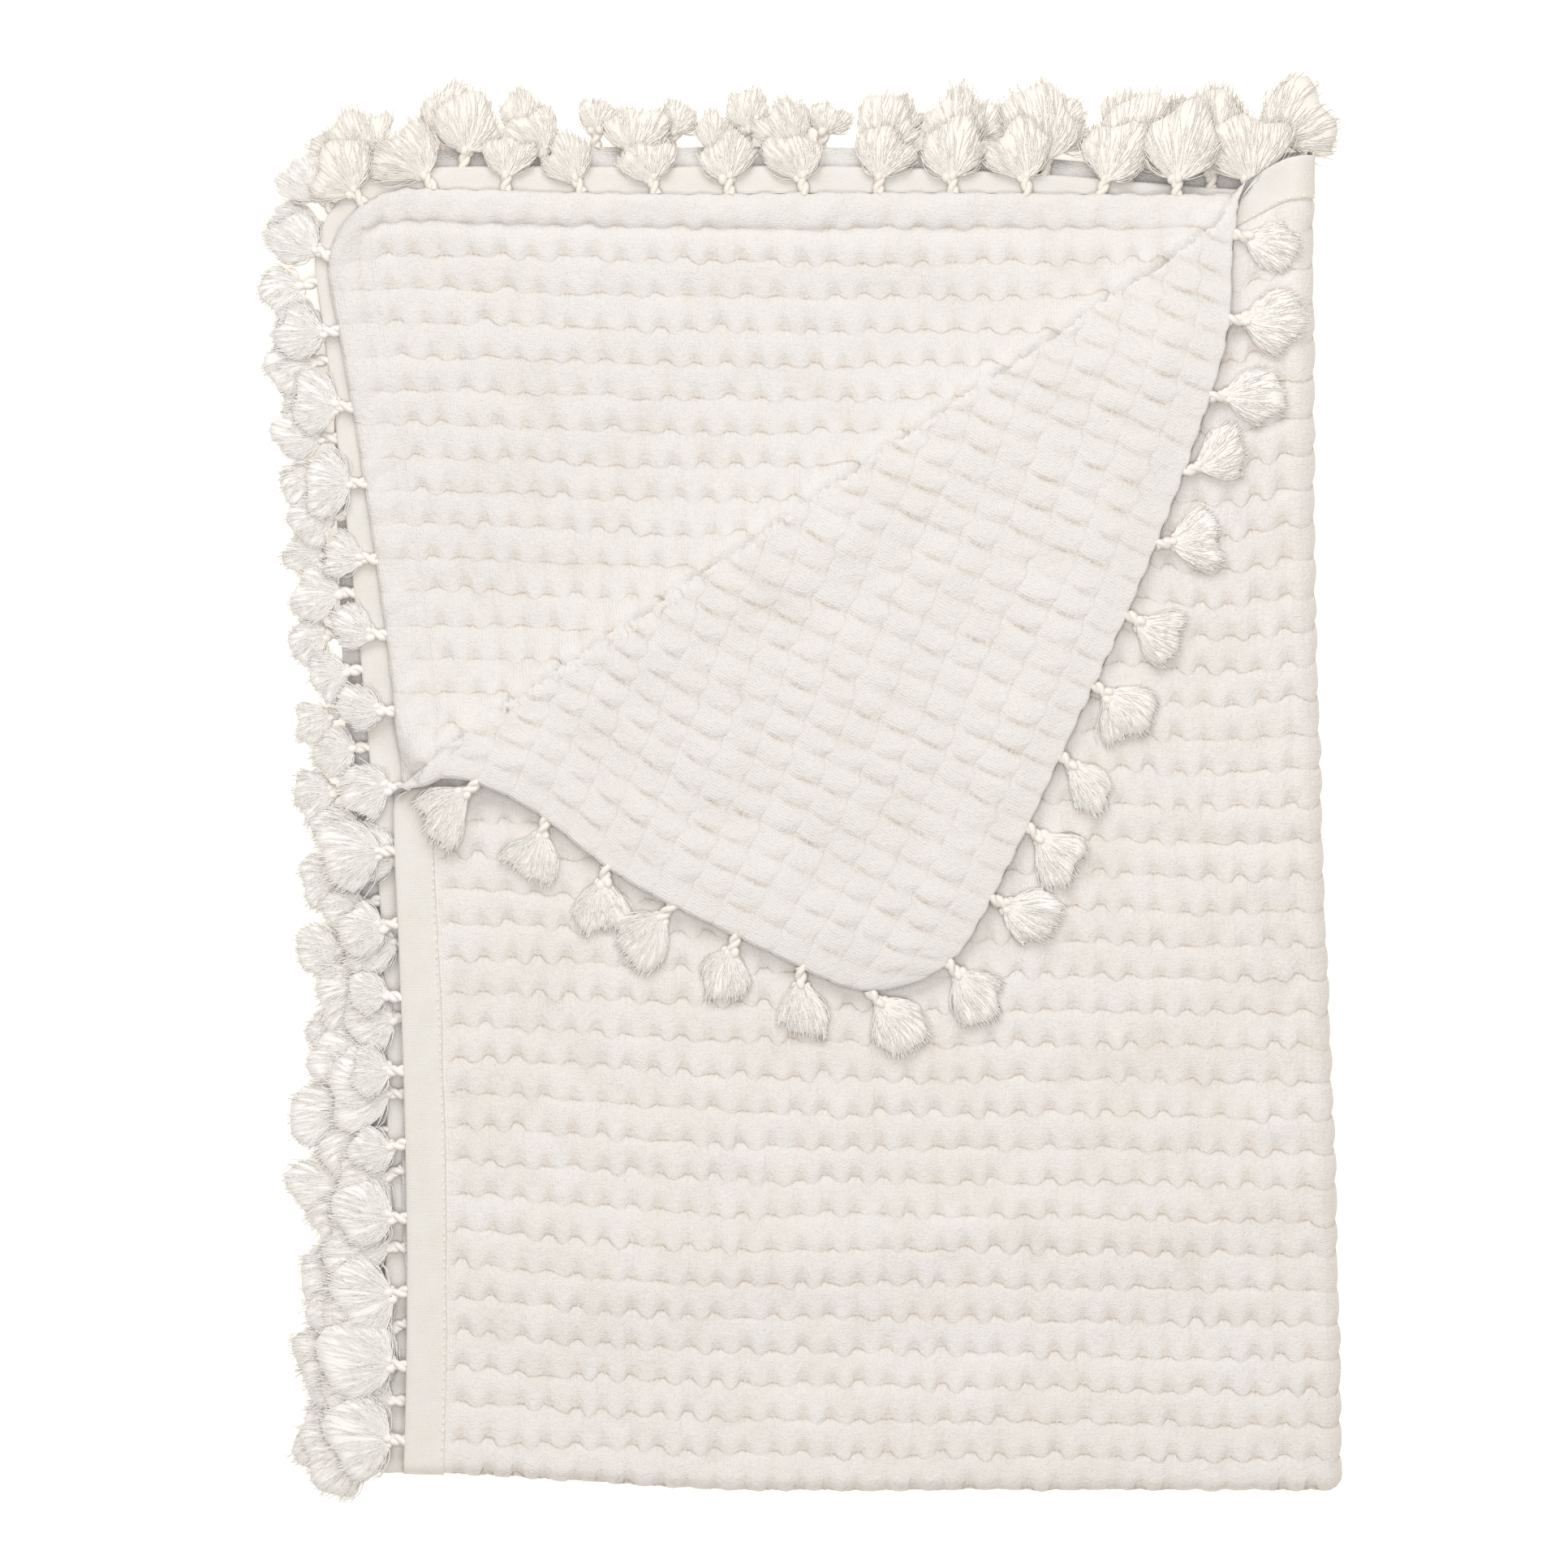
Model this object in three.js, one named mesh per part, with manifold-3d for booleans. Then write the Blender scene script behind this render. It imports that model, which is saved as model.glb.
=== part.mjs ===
// Baby blanket of cotton waffle cloth with a tasselled edge, folded in quarters and laid flat.
// It is folded in half along its length, with the fold at the bottom, then in half across its width,
// with the fold at the right. The free corner of the top layer is turned back over a diagonal crease.
// Millimetres: +X is right, +Y is up the folded blanket, +Z is up from the surface it lies on.
import * as THREE from "three";
import Module from "manifold-3d";

// The cut cloth. Flat coordinates a and b are measured from the two folds: a is negative on the
// upper pair of layers, and b is positive on the outer layers.
const HALF_WIDTH = 368;
const OUTER_LENGTH = 512;
const INNER_LENGTH = 508;
const CORNER_RADIUS = 40;
const CORNER_STEPS = 4;
const CLOTH_THICK = 2.2;

// The plain tape that faces the outer side of the cloth along all its edges.
const FACING_WIDTH = 16;
const FACING_THICK = 1;
const CLEARANCE = 0.3;

// The folded stack. Layers lie a pitch apart, so the two folds have these radii.
const LAYER_PITCH = 5.4;
const BOTTOM_FOLD_RADIUS = LAYER_PITCH / 2;
const RIGHT_FOLD_RADIUS = LAYER_PITCH;
const RIGHT_FOLD_X = 211;
const BOTTOM_FOLD_Y = -274.4;
const MIDDLE_Z = CLOTH_THICK / 2 + 1.5 * LAYER_PITCH;
const RIGHT_LEAN = 10.5;
const LEAN_END = 0.8;
const BOTTOM_LIFT = 6.7;
const LIFT_START = 0.6;
const HEM_RISE = 2 * CLEARANCE + FACING_THICK;
const HEM_RAMP = 26;

// The stack's loft above its bare pitch: its share of the height, how it waves over the blanket, and the
// shares of the width and the length over which it fades to the open edges.
const LOFT = 0.09;
const LOFT_WAVE = { share: 0.6, alongX: 47, phaseX: 0.6, alongY: 58, phaseY: 1.1 };
const LOFT_FADE = { width: 0.2, length: 0.15 };

// How each layer's open edges stray from the true quarter, in millimetres: the left edge at the bottom
// fold, at half height and at the top, and the top edge at the right fold, halfway along and at the left.
const LAYERS = {
  first: { leftFold: 0, leftMiddle: 3, leftTop: -8, topFold: 15, topMiddle: 13, topLeft: -9 },
  second: { leftFold: 0, leftMiddle: 11, leftTop: -27, topFold: 2, topMiddle: 3.5, topLeft: -3 },
  third: { leftFold: -6, leftMiddle: -9, leftTop: -31, topFold: 2, topMiddle: 10, topLeft: 3 },
  fourth: { leftFold: -6, leftMiddle: -8, leftTop: -17, topFold: 15, topMiddle: 6, topLeft: 3 },
};
const FOLD_REACH = 0.08;

// The corner that is turned back: its crease, the radius of the roll along it and how the flap settles.
const CREASE_LEFT = new THREE.Vector2(-151, 1.5);
const CREASE_RIGHT = new THREE.Vector2(178, 228);
const ROLL_LEFT = 6;
const ROLL_MIDDLE = 4;
const ROLL_RIGHT = 3;
const FLAP_REST = 5;
const FLAP_SETTLE = 60;
const CORNER_HOLD = 14;
const HOLD_RANGE = 24;
const ARCH_DRAW = 11;
const ARCH_PLACE = 0.64;
const ARCH_REACH = 0.075;

// Grid of the cloth: cells of about this size, closer near the right fold, with finer lines round the
// folds and the roll.
const CELL_WIDTH = 50;
const CELL_LENGTH = 34;
const RIGHT_GRADE = 1.3;
const FOLD_STEPS = 3;
const ROLL_STEPS = 6;

// A tassel: rings from its root in the edge strip to the end of its knot, and its two locks.
const KNOT_RINGS = [
  { out: -0.7, half: 0.7, high: 0.7 },
  { out: 4.5, half: 1, high: 1 },
  { out: 7.6, half: 3.4, high: 2.4 },
  { out: 11, half: 2.3, high: 2 },
];
const LOCK = { out: 28, near: 0.8, far: 10, high: 2.4 };
const SETTLE_OUT = 7.6;
const STRIP_GAP = 0.4;
const STRIP_WIDTH = 2;
const STRIP_HALF_THICK = 0.8;
const STRIP_END = 4;
const STRIP_STEP = 1;
const TAPER = 0.25;

// The rows of tassels, one for each stretch of open edge, measured along the edge from its fold. A row's
// tassels turn clockwise, seen from above, from its first lean to its last, in degrees, and drop lets
// them down from the edge. The flap's two edges are those of the top layer beyond the crease.
const FRINGE_COLUMNS = ["name", "layer", "edge", "from", "to", "count", "lean", "lastLean", "drop"];
const FRINGES = [
  ["tassels_first_left", "first", "left", 13, 246, 9, 0, -4, 0.2],
  ["tassels_flap_lower", "first", "left", 306, 476, 7, 16, -32, 2.6],
  ["tassels_flap_side", "first", "top", 41, 345, 11, -20, 14, 2.6],
  ["tassels_second_left", "second", "left", 28, 482, 16, -6, 6, 0.2],
  ["tassels_second_top", "second", "top", 22, 350, 13, 6, -6, 0.2],
  ["tassels_third_left", "third", "left", 13, 490, 17, -34, 4, 0.2],
  ["tassels_third_top", "third", "top", 36, 338, 11, 8, -4, 0.2],
  ["tassels_fourth_left", "fourth", "left", 20, 484, 16, -20, 0, 0.3],
  ["tassels_fourth_top", "fourth", "top", 14, 352, 13, 26, -4, 0.3],
].map((row) => Object.fromEntries(row.map((value, i) => [FRINGE_COLUMNS[i], value])));
const LEAN_SPREAD = 9;
const LEAN_STEP = 2.4;

const CREAM = 0xf0ebe1;
const FACING_CREAM = 0xf4efe6;
const TASSEL_WHITE = 0xf6f3ee;

function smooth(low, high, value) {
  return THREE.MathUtils.smoothstep(value, low, high);
}

function lengthOf(b) {
  return b < 0 ? INNER_LENGTH : OUTER_LENGTH;
}

function layerOf(a, b) {
  if (a < 0) return b < 0 ? LAYERS.second : LAYERS.first;
  return b < 0 ? LAYERS.third : LAYERS.fourth;
}

// Round a fold of the given radius: how far the cloth is from the fold's end, how far it has come
// round from the fold's middle plane, and the angle that it has turned through.
function roundFold(distance, radius) {
  const angle = Math.min(distance / radius, Math.PI / 2);
  return {
    inward: radius * (1 - Math.cos(angle)) + Math.max(0, distance - (radius * Math.PI) / 2),
    across: radius * Math.sin(angle),
    angle,
  };
}

// How much loftier than its bare pitch the stack lies at a place, none at the open edges.
function loftAt(x, y) {
  const fromLeft = 1 - (RIGHT_FOLD_X - x) / HALF_WIDTH;
  const fromTop = 1 - (y - BOTTOM_FOLD_Y) / OUTER_LENGTH;
  const { share, alongX, phaseX, alongY, phaseY } = LOFT_WAVE;
  const wave = Math.sin(x / alongX + phaseX) * Math.sin(y / alongY + phaseY);
  const inside = smooth(0, LOFT_FADE.width, fromLeft) * smooth(0, LOFT_FADE.length, fromTop);
  return 1 + LOFT * inside * (1 + share * wave);
}

// The hem is thicker than the cloth, so it lifts each layer a little along its open edges.
function hemRise(u, v, length) {
  const inside = Math.min(HALF_WIDTH - u, length - v);
  return HEM_RISE * (1 - smooth(FACING_WIDTH, FACING_WIDTH + HEM_RAMP, inside));
}

// Where the turned-back corner carries a place of the top layer. Beyond the crease the cloth goes up
// round a roll and comes down on its own layer, face to face.
function turnBack(x, y, u) {
  const along = CREASE_RIGHT.clone().sub(CREASE_LEFT);
  const run = along.length();
  along.divideScalar(run);
  const away = new THREE.Vector2(-along.y, along.x);
  const from = new THREE.Vector2(x, y).sub(CREASE_LEFT);
  const past = from.dot(away) - CORNER_HOLD * Math.exp(-((u / HOLD_RANGE) ** 2));
  const share = THREE.MathUtils.clamp(from.dot(along) / run, 0, 1);
  const ends = share < 0.5 ? ROLL_LEFT : ROLL_RIGHT;
  const radius = ROLL_MIDDLE + (ends - ROLL_MIDDLE) * (2 * share - 1) ** 2;
  const angle = past / radius;
  const beyond = past - Math.PI * radius;
  if (past <= 0) return { x, y, height: 0, angle };
  const rolling = angle < Math.PI;
  const reach = rolling ? radius * Math.sin(angle) : -beyond;
  const rest = FLAP_REST + (2 * radius - FLAP_REST) * Math.exp(-Math.max(0, beyond) / FLAP_SETTLE);
  return {
    x: x + away.x * (reach - past),
    y: y + away.y * (reach - past),
    height: rolling ? radius * (1 - Math.cos(angle)) : rest,
    angle,
  };
}

// The middle of the cloth's thickness at a flat place, in the folded blanket.
function folded(a, b) {
  const u = Math.abs(a);
  const v = Math.abs(b);
  const length = lengthOf(b);
  const layer = layerOf(a, b);
  const alpha = u / HALF_WIDTH;
  const beta = v / length;
  const bottom = roundFold(v, BOTTOM_FOLD_RADIUS);
  const right = roundFold(u, RIGHT_FOLD_RADIUS);
  const outward = Math.sign(b) * bottom.across;
  const upward = a < 0 ? 1 : -1;

  const leftStray =
    layer.leftFold * (1 - beta) * (1 - 2 * beta) +
    layer.leftMiddle * 4 * beta * (1 - beta) +
    layer.leftTop * beta * (2 * beta - 1);
  const archDraw = layer === LAYERS.first ? ARCH_DRAW : 0;
  const arch = archDraw * Math.exp(-(((beta - ARCH_PLACE) / ARCH_REACH) ** 2));
  const topStray =
    layer.topFold * Math.exp(-((alpha / FOLD_REACH) ** 2)) +
    layer.topMiddle * 4 * alpha * (1 - alpha) +
    layer.topLeft * alpha ** 2;
  const x =
    RIGHT_FOLD_X -
    right.inward +
    outward * Math.cos(right.angle) -
    RIGHT_LEAN * smooth(0, LEAN_END, beta) +
    alpha * leftStray +
    alpha ** 2 * arch;
  const lift = BOTTOM_LIFT * smooth(LIFT_START, 1, alpha);
  const y = BOTTOM_FOLD_Y + bottom.inward + lift + beta ** 3 * topStray;
  const still = { x, y, height: 0, angle: -1 };
  const at = layer === LAYERS.first ? turnBack(x, y, u) : still;
  const bareZ = MIDDLE_Z + upward * (right.across + outward * Math.sin(right.angle));
  const lofted = CLOTH_THICK / 2 + (bareZ - CLOTH_THICK / 2) * loftAt(at.x, at.y);
  const z = lofted + at.height + hemRise(u, v, length);
  return { point: new THREE.Vector3(at.x, at.y, z), angle: at.angle };
}

// The folded place of a flat point, offset towards the outer side of the cloth.
const PROBE = 0.3;
function placed(a, b, offset) {
  const alongA = folded(a + PROBE, b).point.sub(folded(a - PROBE, b).point);
  const alongB = folded(a, b + PROBE).point.sub(folded(a, b - PROBE).point);
  return folded(a, b).point.addScaledVector(alongA.cross(alongB).normalize(), offset);
}

// Grid lines along one side of the cut cloth, from its fold to its edge.
function gridLines(length, foldRadius, cell, grade) {
  const foldEnd = (foldRadius * Math.PI) / 2;
  const lines = [];
  for (let i = 0; i <= FOLD_STEPS; i += 1) lines.push((foldEnd * i) / FOLD_STEPS);
  const hem = length - FACING_WIDTH;
  const cells = Math.round((hem - foldEnd) / cell);
  for (let i = 1; i <= cells; i += 1) lines.push(foldEnd + (hem - foldEnd) * (i / cells) ** grade);
  lines.push(length);
  return lines;
}

function widthLines() {
  return gridLines(HALF_WIDTH, RIGHT_FOLD_RADIUS, CELL_WIDTH, RIGHT_GRADE);
}

function lengthLines(length) {
  return gridLines(length, BOTTOM_FOLD_RADIUS, CELL_LENGTH, 1);
}

function bothWays(negative, positive) {
  return [...negative.slice(1).reverse().map((value) => -value), ...positive];
}

// The place between two flat points where a level function is nought, the same from either side.
const HALVINGS = 40;
function crossing(p, q, level) {
  let [low, high] = level(p) < 0 ? [p, q] : [q, p];
  for (let i = 0; i < HALVINGS; i += 1) {
    const middle = [(low[0] + high[0]) / 2, (low[1] + high[1]) / 2];
    if (level(middle) < 0) low = middle;
    else high = middle;
  }
  return low;
}

// Splits each cell along the line where a level function is nought, and keeps the sides asked for.
function split(cells, level, keepHigh) {
  const near = 1e-3;
  return cells.flatMap((cell) => {
    const low = [];
    const high = [];
    cell.forEach((p, i) => {
      const q = cell[(i + 1) % cell.length];
      const here = level(p);
      const next = level(q);
      if (here < near) low.push(p);
      if (here > -near) high.push(p);
      if (Math.min(here, next) < -near && Math.max(here, next) > near) {
        const cut = crossing(p, q, level);
        low.push(cut);
        high.push(cut);
      }
    });
    const sides = keepHigh ? [low, high] : [low];
    return sides.filter((side) => side.length > 2 && flatArea(side) > near);
  });
}

function flatArea(polygon) {
  return polygon.reduce((sum, p, i) => {
    const q = polygon[(i + 1) % polygon.length];
    return sum + (p[0] * q[1] - q[0] * p[1]) / 2;
  }, 0);
}

// The cut cloth as flat cells: a grid with its corners rounded off and lines laid along the roll.
function cutCloth() {
  const linesA = bothWays(widthLines(), widthLines());
  const linesB = bothWays(lengthLines(INNER_LENGTH), lengthLines(OUTER_LENGTH));
  let cells = [];
  for (let i = 1; i < linesA.length; i += 1) {
    for (let j = 1; j < linesB.length; j += 1) {
      const [a0, a1, b0, b1] = [linesA[i - 1], linesA[i], linesB[j - 1], linesB[j]];
      cells.push([[a0, b0], [a1, b0], [a1, b1], [a0, b1]]);
    }
  }
  for (const sideA of [-1, 1]) {
    for (const sideB of [-1, 1]) {
      for (let i = 0; i < CORNER_STEPS; i += 1) {
        const angle = ((i + 0.5) / CORNER_STEPS) * (Math.PI / 2);
        const apothem = CORNER_RADIUS * Math.cos(Math.PI / 4 / CORNER_STEPS);
        const centreA = HALF_WIDTH - CORNER_RADIUS;
        const centreB = lengthOf(sideB) - CORNER_RADIUS;
        const beyond = ([a, b]) =>
          (sideA * a - centreA) * Math.cos(angle) + (sideB * b - centreB) * Math.sin(angle) - apothem;
        cells = split(cells, beyond, false);
      }
    }
  }
  for (let i = 0; i <= ROLL_STEPS; i += 1) {
    const turn = (Math.PI * i) / ROLL_STEPS;
    cells = split(cells, ([a, b]) => folded(a, b).angle - turn, true);
  }
  return cells;
}

function geometryOf(points, triangles) {
  const geometry = new THREE.BufferGeometry();
  const numbers = points.flatMap((p) => [p.x, p.y, p.z]);
  geometry.setAttribute("position", new THREE.Float32BufferAttribute(numbers, 3));
  geometry.setIndex(triangles);
  geometry.computeVertexNormals();
  return geometry;
}

// Cuts a cell into triangles from the corner that leaves the thickest ones.
function triangulate(cell) {
  const fan = (start) => {
    const turned = [...cell.slice(start), ...cell.slice(0, start)];
    return turned.slice(2).map((p, i) => [turned[0], turned[i + 1], p]);
  };
  const fans = cell.map((_, start) => fan(start));
  const thinnest = (triangles) => Math.min(...triangles.map(flatArea));
  return fans.reduce((best, next) => (thinnest(next) > thinnest(best) ? next : best));
}

// A closed solid between two offsets from the folded middle of the given flat cells.
function sheet(cells, inner, outer) {
  const places = new Map();
  const points = [];
  const index = ([a, b]) => {
    const key = `${a.toFixed(3)} ${b.toFixed(3)}`;
    if (!places.has(key)) {
      places.set(key, points.length / 2);
      points.push(placed(a, b, inner), placed(a, b, outer));
    }
    return places.get(key);
  };
  const triangles = [];
  const edges = new Map();
  for (const cell of cells) {
    for (const corners of triangulate(cell)) {
      const [i, j, k] = corners.map(index);
      triangles.push(2 * i + 1, 2 * j + 1, 2 * k + 1, 2 * k, 2 * j, 2 * i);
      for (const [p, q] of [[i, j], [j, k], [k, i]]) {
        if (!edges.delete(`${q} ${p}`)) edges.set(`${p} ${q}`, [p, q]);
      }
    }
  }
  for (const [p, q] of edges.values()) {
    triangles.push(2 * p, 2 * q, 2 * q + 1, 2 * p, 2 * q + 1, 2 * p + 1);
  }
  return geometryOf(points, triangles);
}

function inHem(cell) {
  const middle = [0, 1].map((axis) => cell.reduce((sum, p) => sum + p[axis], 0) / cell.length);
  return (
    Math.abs(middle[0]) > HALF_WIDTH - FACING_WIDTH ||
    Math.abs(middle[1]) > lengthOf(middle[1]) - FACING_WIDTH
  );
}

// The open edge that a row is on: its layer's signs in flat coordinates, its length and how much of it
// is straight.
function edgeOf({ layer, edge }) {
  const sideA = layer === "first" || layer === "second" ? -1 : 1;
  const sideB = layer === "first" || layer === "fourth" ? 1 : -1;
  const length = edge === "left" ? lengthOf(sideB) : HALF_WIDTH;
  return { edge, sideA, sideB, length, straight: length - CORNER_RADIUS };
}

// A place along an open edge, measured from its fold and carried on round the corner, with the flat
// direction that points out of the cloth there.
function onEdge(fringe, distance) {
  const { edge, sideA, sideB, straight } = edgeOf(fringe);
  const turn = Math.max(0, distance - straight) / CORNER_RADIUS;
  const run = Math.min(distance, straight) + CORNER_RADIUS * Math.sin(turn);
  const inset = CORNER_RADIUS * (1 - Math.cos(turn));
  const [outAcross, outAlong] = [Math.cos(turn), Math.sin(turn)];
  if (edge === "left") {
    return {
      a: sideA * (HALF_WIDTH - inset),
      b: sideB * run,
      outA: sideA * outAcross,
      outB: sideB * outAlong,
    };
  }
  return {
    a: sideA * run,
    b: sideB * (lengthOf(sideB) - inset),
    outA: sideA * outAlong,
    outB: sideB * outAcross,
  };
}

// The places along an open edge where the cut cloth has a point: its grid lines and its corner's steps.
function edgePoints(fringe) {
  const { edge, length, straight } = edgeOf(fringe);
  const lines = edge === "left" ? lengthLines(length) : widthLines();
  const step = (CORNER_RADIUS * Math.PI) / 2 / CORNER_STEPS;
  const onCorner = Array.from({ length: CORNER_STEPS }, (_, i) => straight + i * step);
  return [...lines.filter((line) => line < straight), ...onCorner];
}

// A folded place off an open edge, on the straight line between the cloth's own points there.
function atEdge(fringe, distance, out, offset) {
  const points = edgePoints(fringe);
  const next = points.findIndex((point) => point >= distance);
  const [before, after] = [points[next - 1], points[next]].map((point) => {
    const edge = onEdge(fringe, point);
    return placed(edge.a + out * edge.outA, edge.b + out * edge.outB, offset);
  });
  return before.lerp(after, (distance - points[next - 1]) / (points[next] - points[next - 1]));
}

const wasm = await Module();
wasm.setup();

function solidOf(geometry) {
  return new wasm.Manifold(
    new wasm.Mesh({
      numProp: 3,
      vertProperties: geometry.getAttribute("position").array,
      triVerts: new Uint32Array(geometry.getIndex().array),
    }),
  );
}

function tasselPlaces(fringe) {
  const step = (fringe.to - fringe.from) / (fringe.count - 1);
  return Array.from({ length: fringe.count }, (_, i) => fringe.from + i * step);
}

// The narrow strip along a stretch of edge that the tassels are knotted to.
function edgeStrip(fringe) {
  const corners = [
    [STRIP_GAP, -STRIP_HALF_THICK],
    [STRIP_GAP + STRIP_WIDTH, -STRIP_HALF_THICK],
    [STRIP_GAP + STRIP_WIDTH, STRIP_HALF_THICK],
    [STRIP_GAP, STRIP_HALF_THICK],
  ];
  const [start, finish] = [fringe.from - STRIP_END, fringe.to + STRIP_END];
  const between = edgePoints(fringe).filter(
    (point) => point > start + STRIP_STEP && point < finish - STRIP_STEP,
  );
  const points = [start, ...between, finish].flatMap((distance) =>
    corners.map(([out, offset]) => atEdge(fringe, distance, out, offset)),
  );
  const triangles = [];
  for (let ring = 0; ring < points.length - 4; ring += 4) {
    for (let j = 0; j < 4; j += 1) {
      const [p, q] = [ring + j, ring + ((j + 1) % 4)];
      triangles.push(p, q, q + 4, p, q + 4, p + 4);
    }
  }
  const end = points.length - 4;
  triangles.push(2, 1, 0, 3, 2, 0, end, end + 1, end + 2, end, end + 2, end + 3);
  return rightWayOut(geometryOf(points, triangles));
}

function rightWayOut(geometry) {
  const solid = solidOf(geometry);
  if (solid.volume() > 0) return solid;
  const turned = [];
  const index = geometry.getIndex().array;
  for (let i = 0; i < index.length; i += 3) turned.push(index[i], index[i + 2], index[i + 1]);
  return solidOf(geometry.setIndex(turned));
}

// One tassel: a stem that swells into a knot and parts into two locks.
function tassel(fringe, distance, number) {
  const root = atEdge(fringe, distance, STRIP_GAP + STRIP_WIDTH / 2, 0);
  const out = atEdge(fringe, distance, STRIP_GAP + STRIP_WIDTH, 0).sub(root).setZ(0).normalize();
  const lean = THREE.MathUtils.lerp(fringe.lean, fringe.lastLean, number / (fringe.count - 1));
  const turn = lean + LEAN_SPREAD * Math.sin(LEAN_STEP * number + fringe.from);
  out.applyAxisAngle(new THREE.Vector3(0, 0, 1), -THREE.MathUtils.degToRad(turn));
  const side = new THREE.Vector3(-out.y, out.x, 0);
  const at = (distanceOut, across, high) => {
    const settled = THREE.MathUtils.clamp(distanceOut / SETTLE_OUT, 0, 1);
    return root
      .clone()
      .addScaledVector(out, distanceOut)
      .addScaledVector(side, across)
      .setZ(root.z - fringe.drop * settled + high);
  };
  const points = KNOT_RINGS.flatMap(({ out: reach, half, high }) => [
    at(reach, -half, -high),
    at(reach, 0, -high),
    at(reach, half, -high),
    at(reach, half, high * (1 - TAPER)),
    at(reach, 0, high),
    at(reach, -half, high * (1 - TAPER)),
  ]);
  const triangles = [2, 1, 0, 3, 2, 0, 4, 3, 0, 5, 4, 0];
  for (let ring = 1; ring < KNOT_RINGS.length; ring += 1) {
    for (let i = 0; i < 6; i += 1) {
      const [p, q] = [6 * ring + i, 6 * ring + ((i + 1) % 6)];
      triangles.push(p - 6, q - 6, q, p - 6, q, p);
    }
  }
  const knotEnd = 6 * (KNOT_RINGS.length - 1);
  const locks = [
    { from: [0, 1, 4, 5], left: -LOCK.far, right: -LOCK.near },
    { from: [1, 2, 3, 4], left: LOCK.near, right: LOCK.far },
  ];
  for (const { from, left, right } of locks) {
    const start = from.map((i) => knotEnd + i);
    const end = points.length;
    points.push(
      at(LOCK.out, left, -LOCK.high),
      at(LOCK.out, right, -LOCK.high),
      at(LOCK.out, right, LOCK.high * (1 - TAPER)),
      at(LOCK.out, left, LOCK.high * (1 - TAPER)),
    );
    for (let i = 0; i < 4; i += 1) {
      const j = (i + 1) % 4;
      triangles.push(start[i], start[j], end + j, start[i], end + j, end + i);
    }
    triangles.push(end, end + 1, end + 2, end, end + 2, end + 3);
  }
  return solidOf(geometryOf(points, triangles));
}

function fringeGeometry(fringe) {
  const row = tasselPlaces(fringe).reduce(
    (strip, distance, number) => strip.add(tassel(fringe, distance, number)),
    edgeStrip(fringe),
  );
  const mesh = row.getMesh();
  const geometry = new THREE.BufferGeometry();
  geometry.setAttribute("position", new THREE.BufferAttribute(mesh.vertProperties, 3));
  geometry.setIndex(new THREE.BufferAttribute(mesh.triVerts, 1));
  geometry.computeVertexNormals();
  return geometry;
}

function cotton(color) {
  return new THREE.MeshStandardMaterial({ color, roughness: 0.95, metalness: 0 });
}

function named(name, geometry, material) {
  const mesh = new THREE.Mesh(geometry, material);
  mesh.name = name;
  return mesh;
}

const cells = cutCloth();
const halfCloth = CLOTH_THICK / 2;
const facingInside = halfCloth + CLEARANCE;
const blanket = new THREE.Group();
blanket.add(named("waffle_cloth", sheet(cells, -halfCloth, halfCloth), cotton(CREAM)));
blanket.add(
  named(
    "facing_tape",
    sheet(cells.filter(inHem), facingInside, facingInside + FACING_THICK),
    cotton(FACING_CREAM),
  ),
);
for (const fringe of FRINGES) {
  blanket.add(named(fringe.name, fringeGeometry(fringe), cotton(TASSEL_WHITE)));
}

// The origin is under the middle of the whole blanket, on the surface.
const box = new THREE.Box3().setFromObject(blanket);
const middle = box.getCenter(new THREE.Vector3());
blanket.position.set(-middle.x, -middle.y, -box.min.z);

export default blanket;
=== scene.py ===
# A baby blanket of cream cotton waffle cloth with a tasselled edge, folded in quarters and laid flat,
# with the free corner of its top layer turned back. Sizes are in millimetres, and the meshes in metres.
import math

import bpy
import numpy as np
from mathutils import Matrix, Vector


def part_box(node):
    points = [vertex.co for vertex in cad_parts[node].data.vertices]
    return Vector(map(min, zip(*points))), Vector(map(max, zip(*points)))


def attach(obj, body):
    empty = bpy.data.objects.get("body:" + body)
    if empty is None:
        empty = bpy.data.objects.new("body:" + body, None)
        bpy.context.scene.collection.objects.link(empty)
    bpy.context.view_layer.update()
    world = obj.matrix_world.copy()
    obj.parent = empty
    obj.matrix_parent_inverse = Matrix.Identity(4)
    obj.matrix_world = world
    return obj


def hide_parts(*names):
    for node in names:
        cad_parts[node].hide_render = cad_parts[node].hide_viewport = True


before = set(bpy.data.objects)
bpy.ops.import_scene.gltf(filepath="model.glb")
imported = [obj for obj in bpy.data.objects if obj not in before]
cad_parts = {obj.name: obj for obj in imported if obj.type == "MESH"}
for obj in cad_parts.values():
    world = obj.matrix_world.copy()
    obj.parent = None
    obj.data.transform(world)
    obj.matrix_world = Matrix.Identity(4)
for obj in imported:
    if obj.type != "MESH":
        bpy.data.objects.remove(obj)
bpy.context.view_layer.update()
MM = 0.001


# Waffle cloth: one rectangle of cream cotton with rounded corners, woven in rows of soft pockets.
# It is folded in half with the fold at the bottom, then in half with the fold at the right, and the
# free corner of the top layer is turned back over a diagonal crease.
#
# Flat coordinates a and b are measured from the two folds: a is negative on the upper pair of layers,
# and b is positive on the outer layers. Folded coordinates are measured from the two folds' corner.
HALF_WIDTH = 368.0
OUTER_LENGTH = 512.0
INNER_LENGTH = 508.0
CORNER_RADIUS = 40.0
CLOTH_THICK = 2.2
FACING_WIDTH = 16.0
FACING_THICK = 1.0
CLEARANCE = 0.3

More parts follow.
